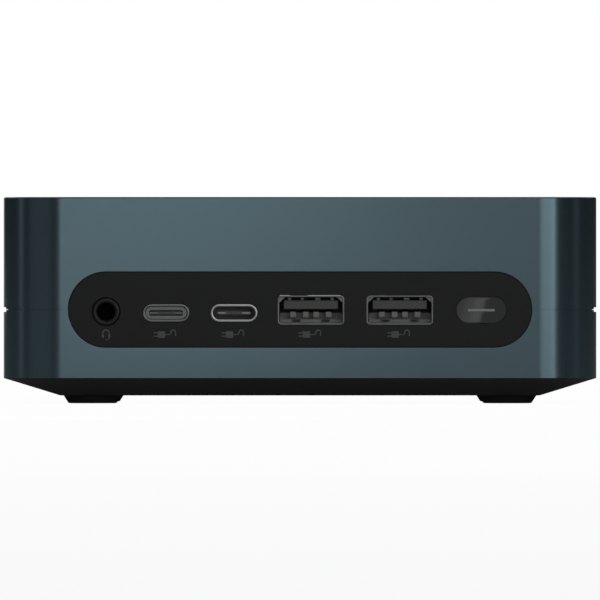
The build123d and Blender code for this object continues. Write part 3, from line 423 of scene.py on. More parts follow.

# %% [markdown]
# ## Finishes of the ports
# Port shells are drawn steel with a nickel skin; a brighter copy of that steel on one of them is a painted
# highlight. Their insides are grey and black plastics, and the paler grey of some inner parts is painted
# light.
# The contacts are gold that use has worn pale, and the bore of the headset socket has a near-black lining
# that is painted shade.

# %% Finishes of the ports
finish("port_steel", "nickel_port_steel", greys(0.30, 0.38, 0.005), metal=1.0, rough=0.30,
       rough_swing=0.12, grain_mm=0.2, bump_um=1.5, patch_mm=4, worn=0.6, wear=0.5, wear_mm=0.08)
# A brighter copy of the port steel: painted highlight on the right front USB-C sleeve.
finish("painted_highlight_steel", "painted_highlight_port_steel", greys(0.80, 0.92), metal=1.0, rough=0.30, grain_mm=0.2,
       bump_um=1, patch_mm=4, worn=0.95, wear=0.5, wear_mm=0.08)
finish("bright_plate", "bright_mid_plate", greys(0.62, 0.72), metal=1.0, rough=0.34, grain_mm=0.1,
       bump_um=1, patch_mm=1)
finish("jack_plastic", "jack_collar_plastic", greys(0.036, 0.044, 0.001), rough=0.30, grain_mm=0.2,
       bump_um=2, worn=0.09, wear=0.5, wear_mm=0.12)
# The near-black lining of the headset bore is painted shade of the blind hole.
finish("bore_painted_shade", "shadowed_bore", greys(0.002, 0.003), rough=0.6, grain_mm=0.3, bump_um=4)
finish("tongue_plastic", "port_tongue_plastic", greys(0.25, 0.29), rough=0.40, grain_mm=0.15, bump_um=3,
       patch_mm=3, worn=0.16, wear=0.3, wear_mm=0.1)
# A pale grey for the USB-C ring and the USB-A floor steps: painted light on lit inner walls.
finish("lit_grey_painted_light", "painted_light_inner_grey", greys(0.58, 0.66), rough=0.28, grain_mm=0.12, bump_um=1.5,
       patch_mm=3, worn=0.3, wear=0.4, wear_mm=0.1)
finish("contact_gold", "worn_gold_contact", [(0.80, 0.77, 0.71), (0.90, 0.87, 0.81)], metal=0.45,
       rough=0.34, grain_mm=0.1, bump_um=1, patch_mm=1)
finish("insert_brass", "turned_brass", [(0.60, 0.43, 0.18), (0.68, 0.50, 0.24)], metal=1.0, rough=0.28,
       grain_mm=0.15, bump_um=2, patch_mm=2, worn=(0.8, 0.68, 0.4), wear=0.4)
finish("pin_steel", "plated_pin", greys(0.58, 0.66), metal=1.0, rough=0.16, bump_um=0.6, patch_mm=2)
finish("lamp_clear", "clear_lamp_bar", [(0.30, 0.27, 0.12), (0.36, 0.33, 0.17)], rough=0.25, grain_mm=0.4,
       patch_mm=2)
print("finishes", len(finishes))

# %% [markdown]
# ## Finishes of the inside
# These pieces only show through the ports and slots, but each still has the surface of what it is:
# solder mask on the board, plated steel, copper, stamped fins and moulded plastic.

# %% Finishes of the inside
finish("board_green", "solder_mask", [(0.008, 0.045, 0.022), (0.014, 0.070, 0.034)], rough=0.32,
       grain_mm=0.5, bump_um=10, patch_mm=6, worn=(0.10, 0.12, 0.06), wear=0.5)
finish("chip_black", "moulded_chip", greys(0.012, 0.018, 0.001), rough=0.5, grain_mm=0.12, bump_um=4,
       patch_mm=8, worn=0.05, wear=0.4)
finish("choke_grey", "pressed_powder", [(0.075, 0.075, 0.078), (0.10, 0.10, 0.105)], rough=0.62,
       bump_um=12, patch_mm=4, worn=0.2, wear=0.5)
finish("can_aluminium", "drawn_can", greys(0.62, 0.72, 0.01), metal=1.0, rough=0.26, grain_mm=0.15,
       bump_um=1.5, patch_mm=3)
finish("cell_steel", "rolled_cell_steel", greys(0.55, 0.64, -0.01), metal=1.0, rough=0.3, grain_mm=0.25,
       bump_um=1.5, patch_mm=6, worn=0.8, wear=0.5)
finish("socket_plastic", "moulded_socket", greys(0.018, 0.026, 0.001), rough=0.45, bump_um=5, patch_mm=6,
       worn=0.08, wear=0.4)
finish("copper", "satin_copper", [(0.62, 0.30, 0.18), (0.72, 0.38, 0.24)], metal=1.0, rough=0.32,
       patch_mm=5, worn=(0.85, 0.5, 0.35), wear=0.4)
finish("fin_aluminium", "stamped_fins", [(0.60, 0.61, 0.62), (0.70, 0.71, 0.72)], metal=1.0, rough=0.34,
       patch_mm=5, worn=0.85, wear=0.4)
finish("fan_plastic", "moulded_fan_plastic", greys(0.014, 0.020), rough=0.42, grain_mm=0.25, bump_um=5,
       patch_mm=10, worn=0.06, wear=0.4, dust=0.3)
finish("coil_copper", "enamelled_wire", [(0.40, 0.16, 0.06), (0.52, 0.22, 0.09)], metal=1.0, rough=0.3,
       grain_mm=0.3, bump_um=20, patch_mm=1)
finish("lead_black", "extruded_jacket", greys(0.010, 0.015), grain_mm=0.15, bump_um=3, patch_mm=3)
print("all finishes", len(finishes))

# %% [markdown]
# ## Mesh tools
# Every piece is drawn in millimetres, each in the shape that is natural for it, and is put in its place
# at the end. Most pieces here start from one flat face with rounded corners: a grid of one cell whose
# four corners are bevelled. Extruding that face gives a block with an even thickness. Bevels come last,
# and they take only edges that really fold.

# %% Flat faces, blocks and bevels
NEAR = 0.001  # mm, a point this close to a height is on it
WELD = 1e-4  # mm, points closer than this become one
FOLDED = 0.05  # radians, an edge that folds less lies in a flat area


def outwards(bm):
    bmesh.ops.recalc_face_normals(bm, faces=bm.faces[:])
    return bm


def face_up(bm):
    """Makes a flat drawing look along +Z."""
    if bm.faces[:][0].normal.z < 0:
        bmesh.ops.reverse_faces(bm, faces=bm.faces[:])
    return bm


def bevel(bm, geom, kind, offset, segments):
    bmesh.ops.bevel(bm, geom=geom, affect=kind, offset=offset, offset_type="OFFSET", segments=segments,
                    profile=0.5, material=-1)
    return bm


def flat(width, height, radius=0.0, segments=8):
    """One face in XY about the origin, with rounded corners, that looks along +Z."""
    bm = bmesh.new()
    stretch = Matrix.Diagonal((width, height, 1, 1))
    bmesh.ops.create_grid(bm, x_segments=1, y_segments=1, size=0.5, matrix=stretch)
    if radius:
        bevel(bm, bm.verts[:], "VERTICES", min(radius, width / 2, height / 2), segments)
        bmesh.ops.remove_doubles(bm, verts=bm.verts[:], dist=WELD)
    return bm


def shaped(points):
    """One face in XY through the given corners, in order."""
    bm = bmesh.new()
    bm.faces.new([bm.verts.new((x, y, 0)) for x, y in points])
    bm.normal_update()
    return face_up(bm)


def moved(bm, x=0.0, y=0.0, z=0.0):
    bmesh.ops.translate(bm, verts=bm.verts[:], vec=(x, y, z))
    return bm


def thick(bm, depth, front=0.0):
    """Closes a flat face into a solid that runs back by depth from the height front."""
    made = bmesh.ops.extrude_face_region(bm, geom=bm.faces[:], use_keep_orig=True)["geom"]
    rear = [v for v in made if isinstance(v, bmesh.types.BMVert)]
    bmesh.ops.translate(bm, verts=rear, vec=(0, 0, -depth))
    return moved(outwards(bm), z=front)


def soften(bm, test, width, segments=2):
    """Bevels the folded edges whose two ends both pass the test."""
    rims = [e for e in bm.edges if all(test(v.co) for v in e.verts) and e.calc_face_angle(1.0) > FOLDED]
    return bevel(bm, rims, "EDGES", width, segments)


def at_height(z):
    return lambda p: abs(p.z - z) < NEAR


def bar(width, height, depth, radius=0.0, front=0.0, rim=0.0, segments=8, x=0.0, y=0.0):
    """A solid with a rounded outline that runs back from front, with its front rim bevelled."""
    bm = thick(flat(width, height, radius, segments), depth, front)
    if rim:
        soften(bm, at_height(front), rim)
    return moved(bm, x, y)


def block(x0, x1, y0, y1, z0, z1, edge=0.0):
    """A box between two corners, with all its edges bevelled."""
    bm = bmesh.new()
    size = Matrix.Diagonal((x1 - x0, y1 - y0, z1 - z0, 1))
    place = Matrix.Translation(((x0 + x1) / 2, (y0 + y1) / 2, (z0 + z1) / 2))
    bmesh.ops.create_cube(bm, size=1, matrix=place @ size)
    return soften(bm, lambda p: True, edge, 1) if edge else bm


print("bevels from a fold of", FOLDED, "rad")

# %% [markdown]
# The shell of a port is a deep-drawn tube. Its mesh is a block whose front face is inset by the wall
# and pushed in until only a thin back is left, so the wall is even all round.

# %% Cups
CUP_BACK = 0.3


def front_face(bm):
    """The largest face at height 0 that looks forwards."""
    faces = [f for f in bm.faces if abs(f.calc_center_median().z) < NEAR and f.normal.z > 0.9]
    return max(faces, key=lambda f: f.calc_area())


def cup(outline, depth, wall, rim):
    """A tube with a closed back and a bevelled front rim, from a flat outline."""
    bm = thick(outline, depth)
    face = front_face(bm)
    bmesh.ops.inset_region(bm, faces=[face], thickness=wall, use_even_offset=True, use_boundary=True)
    bottom = bmesh.ops.extrude_discrete_faces(bm, faces=[face])["faces"][0]
    bmesh.ops.translate(bm, verts=bottom.verts[:], vec=(0, 0, CUP_BACK - depth))
    return soften(outwards(bm), at_height(0), rim)


print("back of a cup, mm:", CUP_BACK)

# %% [markdown]
# ## Round pieces, joining and cutting
# A round piece is a profile that is spun about Z. Where one shape is cut out of another, an exact
# Boolean modifier does it on passing objects, and the result comes back as a bmesh, so that the
# new rims can still be bevelled.

# %% Turning, joining and cutting
def turned(profile, steps=48, x=0.0, y=0.0):
    """A solid about Z from (radius, height) points. The outline closes unless it meets the axis."""
    bm = bmesh.new()
    verts = [bm.verts.new((r, 0, z)) for r, z in profile]
    pairs = list(zip(verts, verts[1:] + verts[:1]))
    edges = [bm.edges.new(pair) for pair in pairs if pair[0].co.x > 0 or pair[1].co.x > 0]
    bmesh.ops.spin(bm, geom=verts + edges, cent=(0, 0, 0), axis=(0, 0, 1), angle=2 * pi, steps=steps,
                   use_merge=True)
    bmesh.ops.remove_doubles(bm, verts=bm.verts[:], dist=WELD / 10)
    return moved(outwards(bm), x, y)


def rod(radius, low, high, x=0.0, y=0.0, steps=32):
    return turned([(0, low), (radius, low), (radius, high), (0, high)], steps, x, y)


def together(parts):
    """One bmesh with the geometry of several, which are used up."""
    whole = bmesh.new()
    for part in parts:
        mesh = bpy.data.meshes.new("passing")
        part.to_mesh(mesh)
        part.free()
        whole.from_mesh(mesh)
        bpy.data.meshes.remove(mesh)
    return whole


def rods(radius, low, high, spots):
    return together([rod(radius, low, high, x, y) for x, y in spots])


def passing_object(bm):
    mesh = bpy.data.meshes.new("passing")
    bm.to_mesh(mesh)
    bm.free()
    made = bpy.data.objects.new("passing", mesh)
    bpy.context.scene.collection.objects.link(made)
    return made


def carve(bm, cutters, operation="DIFFERENCE"):
    """The exact Boolean of a bmesh with each cutter in turn. All of them are used up."""
    body, tools = passing_object(bm), [passing_object(cutter) for cutter in cutters]
    for tool in tools:
        modifier = body.modifiers.new("cut", "BOOLEAN")
        modifier.operation, modifier.solver, modifier.object = operation, "EXACT", tool
    result = bmesh.new()
    evaluated = body.evaluated_get(bpy.context.evaluated_depsgraph_get())
    result.from_mesh(evaluated.to_mesh())
    evaluated.to_mesh_clear()
    for made in (body, *tools):
        mesh = made.data
        bpy.data.objects.remove(made)
        bpy.data.meshes.remove(mesh)
    bmesh.ops.remove_doubles(result, verts=result.verts[:], dist=WELD)
    return result


print("weld distance, mm:", WELD)

# %% [markdown]
# ## From a drawing to a finished piece
# Drawings of ports are made as they are looked at: X right, Y up, Z towards the viewer. A matrix then
# stands them up on the front or the rear. The last helper joins the drawings of a piece, marks where
# the shading breaks, scales it to metres, parents it to an empty for the body it rides on, and hides
# the frame's pieces that it stands for.

# %% Placing and finishing a piece
def placed(bm, matrix):
    bm.transform(matrix)
    return bm


def at_each(places, draw):
    """The parts that draw makes, once for each place."""
    return [placed(bm, place) for place in places for bm in draw()]


def on_front(x, z, y):
    return Matrix.Translation((x, y, z)) @ Matrix.Rotation(pi / 2, 4, "X")


def on_rear(x, z, y):
    return Matrix.Translation((x, y, z)) @ Matrix.Rotation(pi, 4, "Z") @ Matrix.Rotation(pi / 2, 4, "X")


def piece(name, parts, slot, replaces=(), body="case", look=None, sharp=32, place=None):
    """A finished object from drawings in mm. look is its finish, if that isn't named like the slot."""
    bm = together(parts)
    for face in bm.faces:
        face.smooth = True
    if place:
        bm.transform(place)
    bm.transform(Matrix.Diagonal((MM, MM, MM, 1)))
    mesh = bpy.data.meshes.new(name)
    bm.to_mesh(mesh)
    bm.free()
    mesh.set_sharp_from_angle(angle=radians(sharp))
    mesh.materials.append(finishes[look or slot])
    made = bpy.data.objects.new(name, mesh)
    bpy.context.scene.collection.objects.link(made)
    weighted = made.modifiers.new("weighted normals", "WEIGHTED_NORMAL")
    weighted.keep_sharp = True
    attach(made, body)
    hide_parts(*replaces)
    print(f"{name}: {len(mesh.polygons)} faces on {body}")


def centre_mm(node):
    low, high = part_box(node)
    return (low + high) / 2 / MM


print("middle of the headset socket, mm:", [round(c, 2) for c in centre_mm("headset_jack")])

# %% [markdown]
# ## Measures of the case
# The outer sizes come from the frame's own boxes. The rest are thicknesses and radii that a box can't
# give, in millimetres, the same as in the engineering model.

# %% Measures
WIDTH, DEPTH, TOP = 2 * half_width / MM, 2 * half_depth / MM, top_z / MM
FRONT, REAR = -DEPTH / 2, DEPTH / 2
CORNER_R, WALL = 11.5, 2.0
SEAM, SEAM_GAP = 18.5, 0.14
SHELL_LOW = 5.0
BASE_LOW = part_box("base_cover")[0].z / MM
CEILING = TOP - WALL
TAPER = 11.2  # how far the base draws in
PANEL_W, PANEL_H = 91.4, 14.95  # opening for the front ports
REAR_W, REAR_H, REAR_R, REAR_Z = 91.4, 24.8, 7.4, 24.0  # opening for the rear ports
FACE_Y, MOUTH_Y = FRONT + 0.1, FRONT + 0.2  # face of the front panel, and front rim of its ports
REAR_FACE_Y, REAR_MOUTH_Y = REAR - 0.1, REAR - 0.2
CORNERS = [(sx, sy) for sx in (-1, 1) for sy in (-1, 1)]
POST, FOOT, INSERT_X = 46.5, (41.0, 38.5), 30.0
POSTS = [(sx * POST, sy * POST) for sx, sy in CORNERS]  # they carry the board
FEET = [(sx * FOOT[0], sy * FOOT[1]) for sx, sy in CORNERS]
INSERTS = [(-INSERT_X, 0), (INSERT_X, 0)]
print("case, mm:", round(WIDTH, 2), round(DEPTH, 2), round(TOP, 2), "base from", round(BASE_LOW, 2))

# %% [markdown]
# ## The aluminium shells
# The case is two shells of blasted and anodised aluminium that meet at a hairline seam. The plan is a
# rectangle with 11.5 mm corners, and the top edge is only just broken. A subdivision cage would make
# the corners easy but the openings hard, so the outside is an extruded plan with many segments in its
# corners, and the inside and openings are cut with Booleans. The rims of the openings are bevelled
# after the cut: they are the thin bright lines round the black panels.

# %% What both shells share
GROOVE_HALF, GROOVE_DEPTH = 0.45, 0.5
FRONT_RIM, REAR_RIM = 0.09, 0.2


def plan_solid(inset, low, high, segments=24):
    """A solid with the plan of the case, drawn in by inset."""
    return bar(WIDTH - 2 * inset, DEPTH - 2 * inset, high - low, CORNER_R - inset, front=high,
               segments=segments)


def openings():
    """The cutter for the two port panels, and for the grooves along the seam on the sides."""
    front = placed(bar(PANEL_W, PANEL_H, 4, PANEL_H / 2, segments=20), on_front(0, SEAM, FRONT - 1))
    rear = placed(bar(REAR_W, REAR_H, 4, REAR_R, segments=12), on_rear(0, REAR_Z, REAR + 1))
    grooves = [block(x, x + 1 + GROOVE_DEPTH, FRONT - 1, REAR + 1, SEAM - GROOVE_HALF, SEAM + GROOVE_HALF)
               for x in (WIDTH / 2 - GROOVE_DEPTH, -WIDTH / 2 - 1)]
    return together([front, rear, *grooves])


def on_outline(y, centre_z, width, height, radius):
    """A test for points on the edge of a rounded opening in the front or rear wall."""
    def test(p):
        dx = max(abs(p.x) - (width / 2 - radius), 0)
        dz = max(abs(p.z - centre_z) - (height / 2 - radius), 0)
        return abs(p.y - y) < NEAR and abs(hypot(dx, dz) - radius) < 0.01
    return test


def break_rims(bm):
    soften(bm, on_outline(FRONT, SEAM, PANEL_W, PANEL_H, PANEL_H / 2), FRONT_RIM)
    return soften(bm, on_outline(REAR, REAR_Z, REAR_W, REAR_H, REAR_R), REAR_RIM)


print("rims, mm:", FRONT_RIM, REAR_RIM)

# %% [markdown]
# The upper shell is the lid and most of the walls. Its lower edge is thinned on the inside for the
# tongue of the lower shell, and a tapped post in each corner carries the board.

# %% Upper shell
upper = plan_solid(0, SEAM + SEAM_GAP / 2, TOP)
soften(upper, at_height(TOP), 0.35, 4)
upper = carve(upper, [plan_solid(WALL, 10, CEILING), plan_solid(0.72, 10, SEAM + 1.5), openings()])
upper = carve(break_rims(upper), [rods(3.0, 15.5, CEILING + 0.5, POSTS)], "UNION")
upper = carve(upper, [rods(1.25, 10, 22.5, POSTS)])
piece("top_cover", [upper], "shell_aluminium", ["upper_shell"])

# %% [markdown]
# The lower shell is a ring. Its tongue stands up inside the upper shell and closes the seam, a plate
# in each corner takes the screws, and a slot in its right side is for a cable lock.

# %% Lower shell
def corner_plate(sx, sy):
    """Drawn for the right rear corner, and mirrored into its own."""
    plate = carve(block(37.2, 60, 34.7, 60, 7, 9), [plan_solid(1.5, 5, 12)], "INTERSECT")
    plate = carve(plate, [rod(3.2, 3.05, 8.5, *FOOT)], "UNION")
    plate = carve(plate, [together([rod(1.05, 0, 12, *FOOT), rod(1.4, 0, 12, POST, POST)])])
    return outwards(placed(plate, Matrix.Diagonal((sx, sy, 1, 1))))


lower = carve(plan_solid(0, SHELL_LOW, SEAM - SEAM_GAP / 2), [plan_solid(0.8, SEAM - 2, SEAM + 1.4)], "UNION")
soften(lower, at_height(SHELL_LOW), 0.05)
lower = carve(lower, [plan_solid(WALL, 0, 30), openings()])
out_of_side = Matrix.Rotation(pi / 2, 4, "Y") @ Matrix.Rotation(pi / 2, 4, "Z")
lock_slot = placed(bar(7, 3, 6, 1.5), Matrix.Translation((WIDTH / 2 + 2, 30, 11.5)) @ out_of_side)
lower = break_rims(carve(lower, [lock_slot]))
piece("lower_ring", [lower] + [corner_plate(*corner) for corner in CORNERS], "shell_aluminium",
      ["lower_shell"])

# %% [markdown]
# ## Base and feet
# The black base closes the case from below. It draws in by 11 mm over 3.5 mm of height, which hides it
# in shadow and makes the case seem to float. A face that is inset and pushed out at once gives that
# taper. A second, smaller one is cut from it to leave the tray, and slots through the floor let the
# cooling air in.

# %% Base cover
BASE_RIM, BASE_RIM_H = 0.35, 0.1


def tapered(inset, taper, top, low):
    """A solid with the plan of the case that draws in by taper on its way down, rather like a dish."""
    bm = thick(flat(WIDTH - 2 * inset, DEPTH - 2 * inset, CORNER_R - inset, 24), 0.02)
    face = front_face(bm)
    for thickness, depth in ((taper - BASE_RIM, top - low - 0.02 - BASE_RIM_H), (BASE_RIM, BASE_RIM_H)):
        bmesh.ops.inset_region(bm, faces=[face], thickness=thickness, depth=depth, use_even_offset=True,
                               use_boundary=True)
    return placed(outwards(bm), Matrix.Translation((0, 0, top - 0.02)) @ Matrix.Rotation(pi, 4, "X"))


def on_intake(p):
    return abs(p.z - BASE_LOW) < NEAR and abs(p.x) < 27 and 4 < abs(p.y) < 28


lip = carve(plan_solid(2.1, SHELL_LOW - 0.4, SHELL_LOW + 1.3), [plan_solid(3.3, 0, 10)])
base = carve(tapered(0, TAPER, SHELL_LOW, BASE_LOW), [lip], "UNION")
base = carve(base, [tapered(4.6, 6.4, SHELL_LOW + 0.1, BASE_LOW + 1.5)])
base = carve(base, [rods(3.1, 2.5, 5.55, INSERTS)], "UNION")
intake = [placed(bar(20, 1.6, 4, 0.8), Matrix.Translation((3.6 * i, y, 4)) @ Matrix.Rotation(pi / 2, 4, "Z"))
          for i in range(-7, 8) for y in (-16, 16)]
holes = [rods(1.3, 0, 4, FEET), rods(2.1, 0, 7, INSERTS)]
base = carve(base, [together(intake), together(holes)])
piece("base_tray", [soften(base, on_intake, 0.2, 1)], "base_plastic", ["base_cover"])

# %% [markdown]
# The feet are rubber rings with a screw in the middle. A profile spun about an upright axis gives the
# slight flare, the rounded lower edge and a moulded groove that grips the desk. Threads are rings, and
# the brass inserts that take a wall bracket are turned too.

# %% Feet, screws and threaded inserts
FOOT_PROFILE = [(2.8, 0.15), (2.95, 0.0), (3.45, 0.0), (3.55, 0.22), (4.0, 0.22), (4.1, 0.0), (4.42, 0.0),
                (4.68, 0.04), (4.88, 0.18), (5.0, 0.42), (5.75, 1.55), (2.8, 1.55)]
NUT_PROFILE = [(1.25, 1.85), (1.55, 1.55), (2.1, 1.55), (2.1, 2.6), (1.9, 2.75), (1.9, 3.4), (2.1, 3.55),
               (2.1, 5.55), (1.25, 5.55)]
HEAD_Z, HEAD_R, HEAD_H = 0.4, 2.4, 1.15
SHANK_R, SHANK_TOP = 1.0, 8.0
PITCH, THREAD = 0.4, 0.15
CROSS_HALF, CROSS_DEPTH = 0.25, 0.6


def screw(x, y):
    """A screw with its head down: a rounded head with a cross recess, and a threaded shank."""
    profile = [(0, HEAD_Z), (HEAD_R - 0.35, HEAD_Z), (HEAD_R - 0.1, HEAD_Z + 0.12), (HEAD_R, HEAD_Z + 0.4),
               (HEAD_R, HEAD_Z + HEAD_H), (SHANK_R, HEAD_Z + HEAD_H)]
    z = HEAD_Z + HEAD_H + PITCH / 2
    while z < SHANK_TOP - 0.5:
        profile += [(SHANK_R, z), (SHANK_R - THREAD, z + PITCH / 2)]
        z += PITCH
    profile += [(SHANK_R - 0.2, SHANK_TOP), (0, SHANK_TOP)]
    cross = [block(-w, w, -h, h, HEAD_Z - 1, HEAD_Z + CROSS_DEPTH)
             for w, h in ((HEAD_R * 0.6, CROSS_HALF), (CROSS_HALF, HEAD_R * 0.6))]
    return moved(carve(turned(profile, 32), cross), x, y)


piece("rubber_feet", [turned(FOOT_PROFILE, 48, x, y) for x, y in FEET], "foot_rubber", ["feet"])
piece("base_fixings", [screw(x, y) for x, y in FEET], "screw_steel", ["base_screws"])
piece("bracket_inserts", [turned(NUT_PROFILE, 40, x, y) for x, y in INSERTS], "insert_brass",
      ["mount_inserts"])

# %% [markdown]
# ## Front panel
# The black bezel is a round-ended plate, set 0.1 mm back, with an opening for each port. A flange
# behind it bears against the shells. Its own rim and the rims of its openings have a tiny radius, as
# any moulded part does, and that is what makes them readable against black.

# %% Front panel
JACK, BUTTON = centre_mm("headset_jack"), centre_mm("button_light")
USB_C_X, USB_C_Z = (-26.4, -13.0), 17.85
USB_A_X, USB_A_Z = (2.15, 19.65), 18.4
BUTTON_W, BUTTON_H, BUTTON_GAP = 9.85, 5.1, 0.05
PLATE_T, FLANGE_W, FLANGE_T = 1.9, 1.2, 1.0
THROUGH = 6  # how deep a cutter for an opening is, from 1 mm before the face


def panel_plate(width, height, radius, segments, rim):
    """Plate and flange, drawn about the middle of the opening, with the face at height 0."""
    plate = bar(width - 0.2, height - 0.2, PLATE_T, radius, segments=segments)
    soften(plate, at_height(0), rim)
    flange = bar(width + 2 * FLANGE_W, height + 2 * FLANGE_W, FLANGE_T, radius + FLANGE_W, front=-PLATE_T,
                 segments=segments)
    return carve(plate, [flange], "UNION")


def usb_openings(c_spots, a_spots):
    return ([bar(9.35, 3.6, THROUGH, 1.8, 1, x=x, y=y, segments=10) for x, y in c_spots]
            + [bar(13.25, 5.9, THROUGH, 0.8, 1, x=x, y=y) for x, y in a_spots])


def on_face(half_w, half_h):
    """A test for points of a panel's face that are clear of its outer rim."""
    return lambda p: abs(p.z) < NEAR and abs(p.x) < half_w and abs(p.y) < half_h


def front_panel():
    cutters = [bar(BUTTON_W + 2 * BUTTON_GAP, BUTTON_H + 2 * BUTTON_GAP, THROUGH, BUTTON_H, 1, x=BUTTON.x,
                   y=BUTTON.z - SEAM, segments=16), rod(2.83, -5, 1, JACK.x, JACK.z - SEAM, 64)]
    cutters += usb_openings([(x, USB_C_Z - SEAM) for x in USB_C_X], [(x, USB_A_Z - SEAM) for x in USB_A_X])
    plate = carve(panel_plate(PANEL_W, PANEL_H, PANEL_H / 2, 20, 0.08), [together(cutters)])
    return soften(plate, on_face(42, 3.7), 0.06)


piece("port_bezel", [front_panel()], "panel_plastic", ["front_port_panel"],
      place=on_front(0, SEAM, FACE_Y))

# %% [markdown]
# ## Headset socket
# A 3.5 mm socket shows a plastic collar with a broken outer edge and a deep bore. Both come from one
# spun profile. Behind it is the square body that stands on the board. The bore is a blind hole, and so
# it falls into deep shade: a thin separate lining in a near-black finish is that shade, painted.

# %% Headset socket
COLLAR = [(1.94, -0.12), (1.98, -0.03), (2.07, 0.0), (2.47, 0.0), (2.58, -0.03), (2.75, -0.24), (2.75, -4.9),
          (2.6, -4.9), (2.6, -16.0), (0, -16.0), (0, -12.0), (1.72, -12.0), (1.72, -3.3), (1.94, -3.2)]
BORE = [(1.78, -0.16), (1.93, -0.14), (1.93, -3.1), (1.71, -3.4), (1.71, -11.9), (0, -11.9), (0, -11.5),
        (1.62, -11.5), (1.62, -3.5), (1.78, -3.2)]

jack_place = on_front(JACK.x, 18.1, MOUTH_Y)
jack_body = carve(block(-3.2, 3.2, -2.6, 2.6, -17.8, -4.9, 0.25), [rod(2.61, -16.2, 0, steps=40)])
piece("headset_socket", [turned(COLLAR, 64), jack_body], "jack_plastic", ["headset_jack"], place=jack_place)
# The lining's near-black is painted shade inside the blind bore.
piece("headset_bore", [turned(BORE)], "jack_plastic", look="bore_painted_shade", place=jack_place)

# %% [markdown]
# ## USB-C sockets
# The shell is a drawn steel cup with round sides, on two legs. Inside is a thin plastic tongue with
# gold pads on both faces and a steel plate moulded into it, which shows as two short lines at its tip.
# The two front sockets are the same part, lit differently, and the difference is painted into their
# finishes. The left one has a dull sleeve in the usual port steel, a mid plate in that darker steel as
# painted shade, and a rounded ring just inside its mouth whose pale grey is painted light from the lit
# walls of the cavity. The right one has its sleeve in a brighter copy of the steel, a painted highlight.
# So they are separate pieces.

# %% USB-C sockets
def usb_c_shell():
    legs = [block(x, x + 0.46, -2.35, 0, -7.0, -5.4) for x in (-4.625, 4.165)]
    return [cup(flat(9.25, 3.5, 1.75, 12), 7.4, 0.46, 0.07), *legs]


def usb_c_tongue():
    """The tongue, and the block at its root that closes the sleeve."""
    return [bar(8.25, 2.5, 2.2, 1.25, front=-5.0, segments=12),
            block(-3.35, 3.35, -0.33, 0.33, -5.2, -1.0, 0.1)]


def usb_c_mid_plate():
    return [block(x - 0.8, x + 0.8, -0.14, 0.14, -4.0, -0.97, 0.03) for x in (-2.4, 2.4)]


def usb_c_collar():
    """The ring, with a slot for the tongue."""
    ring = bar(8.2, 2.46, 1.4, 1.23, front=-0.3, rim=0.12, segments=12)
    ring = carve(ring, [bar(6.6, 1.08, 4, 0.3, front=1, segments=4)])
    return [soften(ring, lambda p: abs(p.z + 0.3) < NEAR and abs(p.y) < 0.6, 0.1)]


def usb_c_pads():
    """Twelve contact pads on each face of the tongue."""
    return [block(x - 0.12, x + 0.12, y, y + 0.05, -4.5, -1.7) for x in (0.5 * i - 2.75 for i in range(12))
            for y in (0.33, -0.38)]


front_c = [on_front(x, USB_C_Z, MOUTH_Y) for x in USB_C_X]
left_c, right_c = front_c[:1], front_c[1:]
piece("front_usb_c_sleeve_plain", at_each(left_c, usb_c_shell), "port_steel", ["front_usb_c_shells"])
# The right sleeve takes the brighter copy of the steel: a painted highlight.
piece("front_usb_c_sleeve_painted_highlight", at_each(right_c, usb_c_shell), "port_steel", ["front_usb_c_shells"],
      look="painted_highlight_steel")
# The ring's pale grey is painted light, standing in for the lit walls of the cavity.
piece("front_usb_c_collar", at_each(left_c, usb_c_collar), "tongue_plastic", look="lit_grey_painted_light")
piece("front_usb_c_inner_plastic", at_each(front_c, usb_c_tongue), "tongue_plastic",
      ["front_usb_c_tongues"])
# The left socket's mid plate takes the darker port steel instead of the bright plate: painted shade.
piece("front_usb_c_mid_plate_painted_shade", at_each(left_c, usb_c_mid_plate), "port_steel")
piece("front_usb_c_mid_plate_bright", at_each(right_c, usb_c_mid_plate), "port_steel", look="bright_plate")

# %% [markdown]
# ## USB-A sockets
# The same cup, larger and with thinner steel. A thick tongue fills its upper half, and four sprung
# contacts hang below it with their bends towards the opening. Small stops stand between the tongue and
# the roof, and the roof's corners have steel gussets. The floor is a step with two oval recesses, above
# the two windows that the sprung tabs leave in the steel. Its paler grey is painted light on the lit
# lower part of the socket.

# %% USB-A sockets
STRIP_VIEW = [(-2.2, -0.35), (-2.45, -1.35), (-2.8, -1.6), (-4.2, -1.55), (-5.6, -0.45), (-10.9, 0.02),
              (-10.9, 0.16), (-5.6, -0.25), (-4.2, -1.35), (-2.9, -1.42), (-2.62, -1.25), (-2.35, -0.3)]
WINDOW_X = (-2.9, 2.9)


def usb_a_shell():
    sleeve = cup(flat(13.15, 5.8, 0.75, 6), 15.0, 0.32, 0.04)
    windows = [block(x - 0.75, x + 0.75, -3.2, -2.2, -6.5, -1.6) for x in WINDOW_X]
    gussets = [thick(shaped([(side * 6.27, 2.55), (side * 5.1, 2.55), (side * 6.27, 1.45)]), 1.2, front=-0.9)
               for side in (-1, 1)]
    return [carve(sleeve, [together(windows)]), *gussets]


def usb_a_plastic():
    """Tongue and back wall."""
    return [block(-5.35, 5.35, 0.2, 1.95, -11.2, -1.0, 0.12), bar(12.45, 5.1, 3.7, 0.4, front=-11.0)]


def usb_a_step():
    """The step below the contacts, the paler floor, and the stops above the tongue, all in a pale grey that
    is painted light.
    """
    recesses = [bar(1.7, 0.5, 5.0, 0.25, -2.5, x=x, y=-2.1, segments=5) for x in WINDOW_X]
    floor_step = carve(block(-6.15, 6.15, -2.55, -1.75, -8.2, -3.0, 0.1), [together(recesses)])
    stops = [block(x - half, x + half, 1.95, 2.5, -3.6, -1.6, 0.1)
             for x, half in ((-4.2, 0.35), (-1.7, 0.3), (1.35, 0.55), (4.2, 0.35))]
    return [bar(12.3, 2.03, 2.4, 0.3, front=-5.8, y=-1.515), floor_step, *stops]


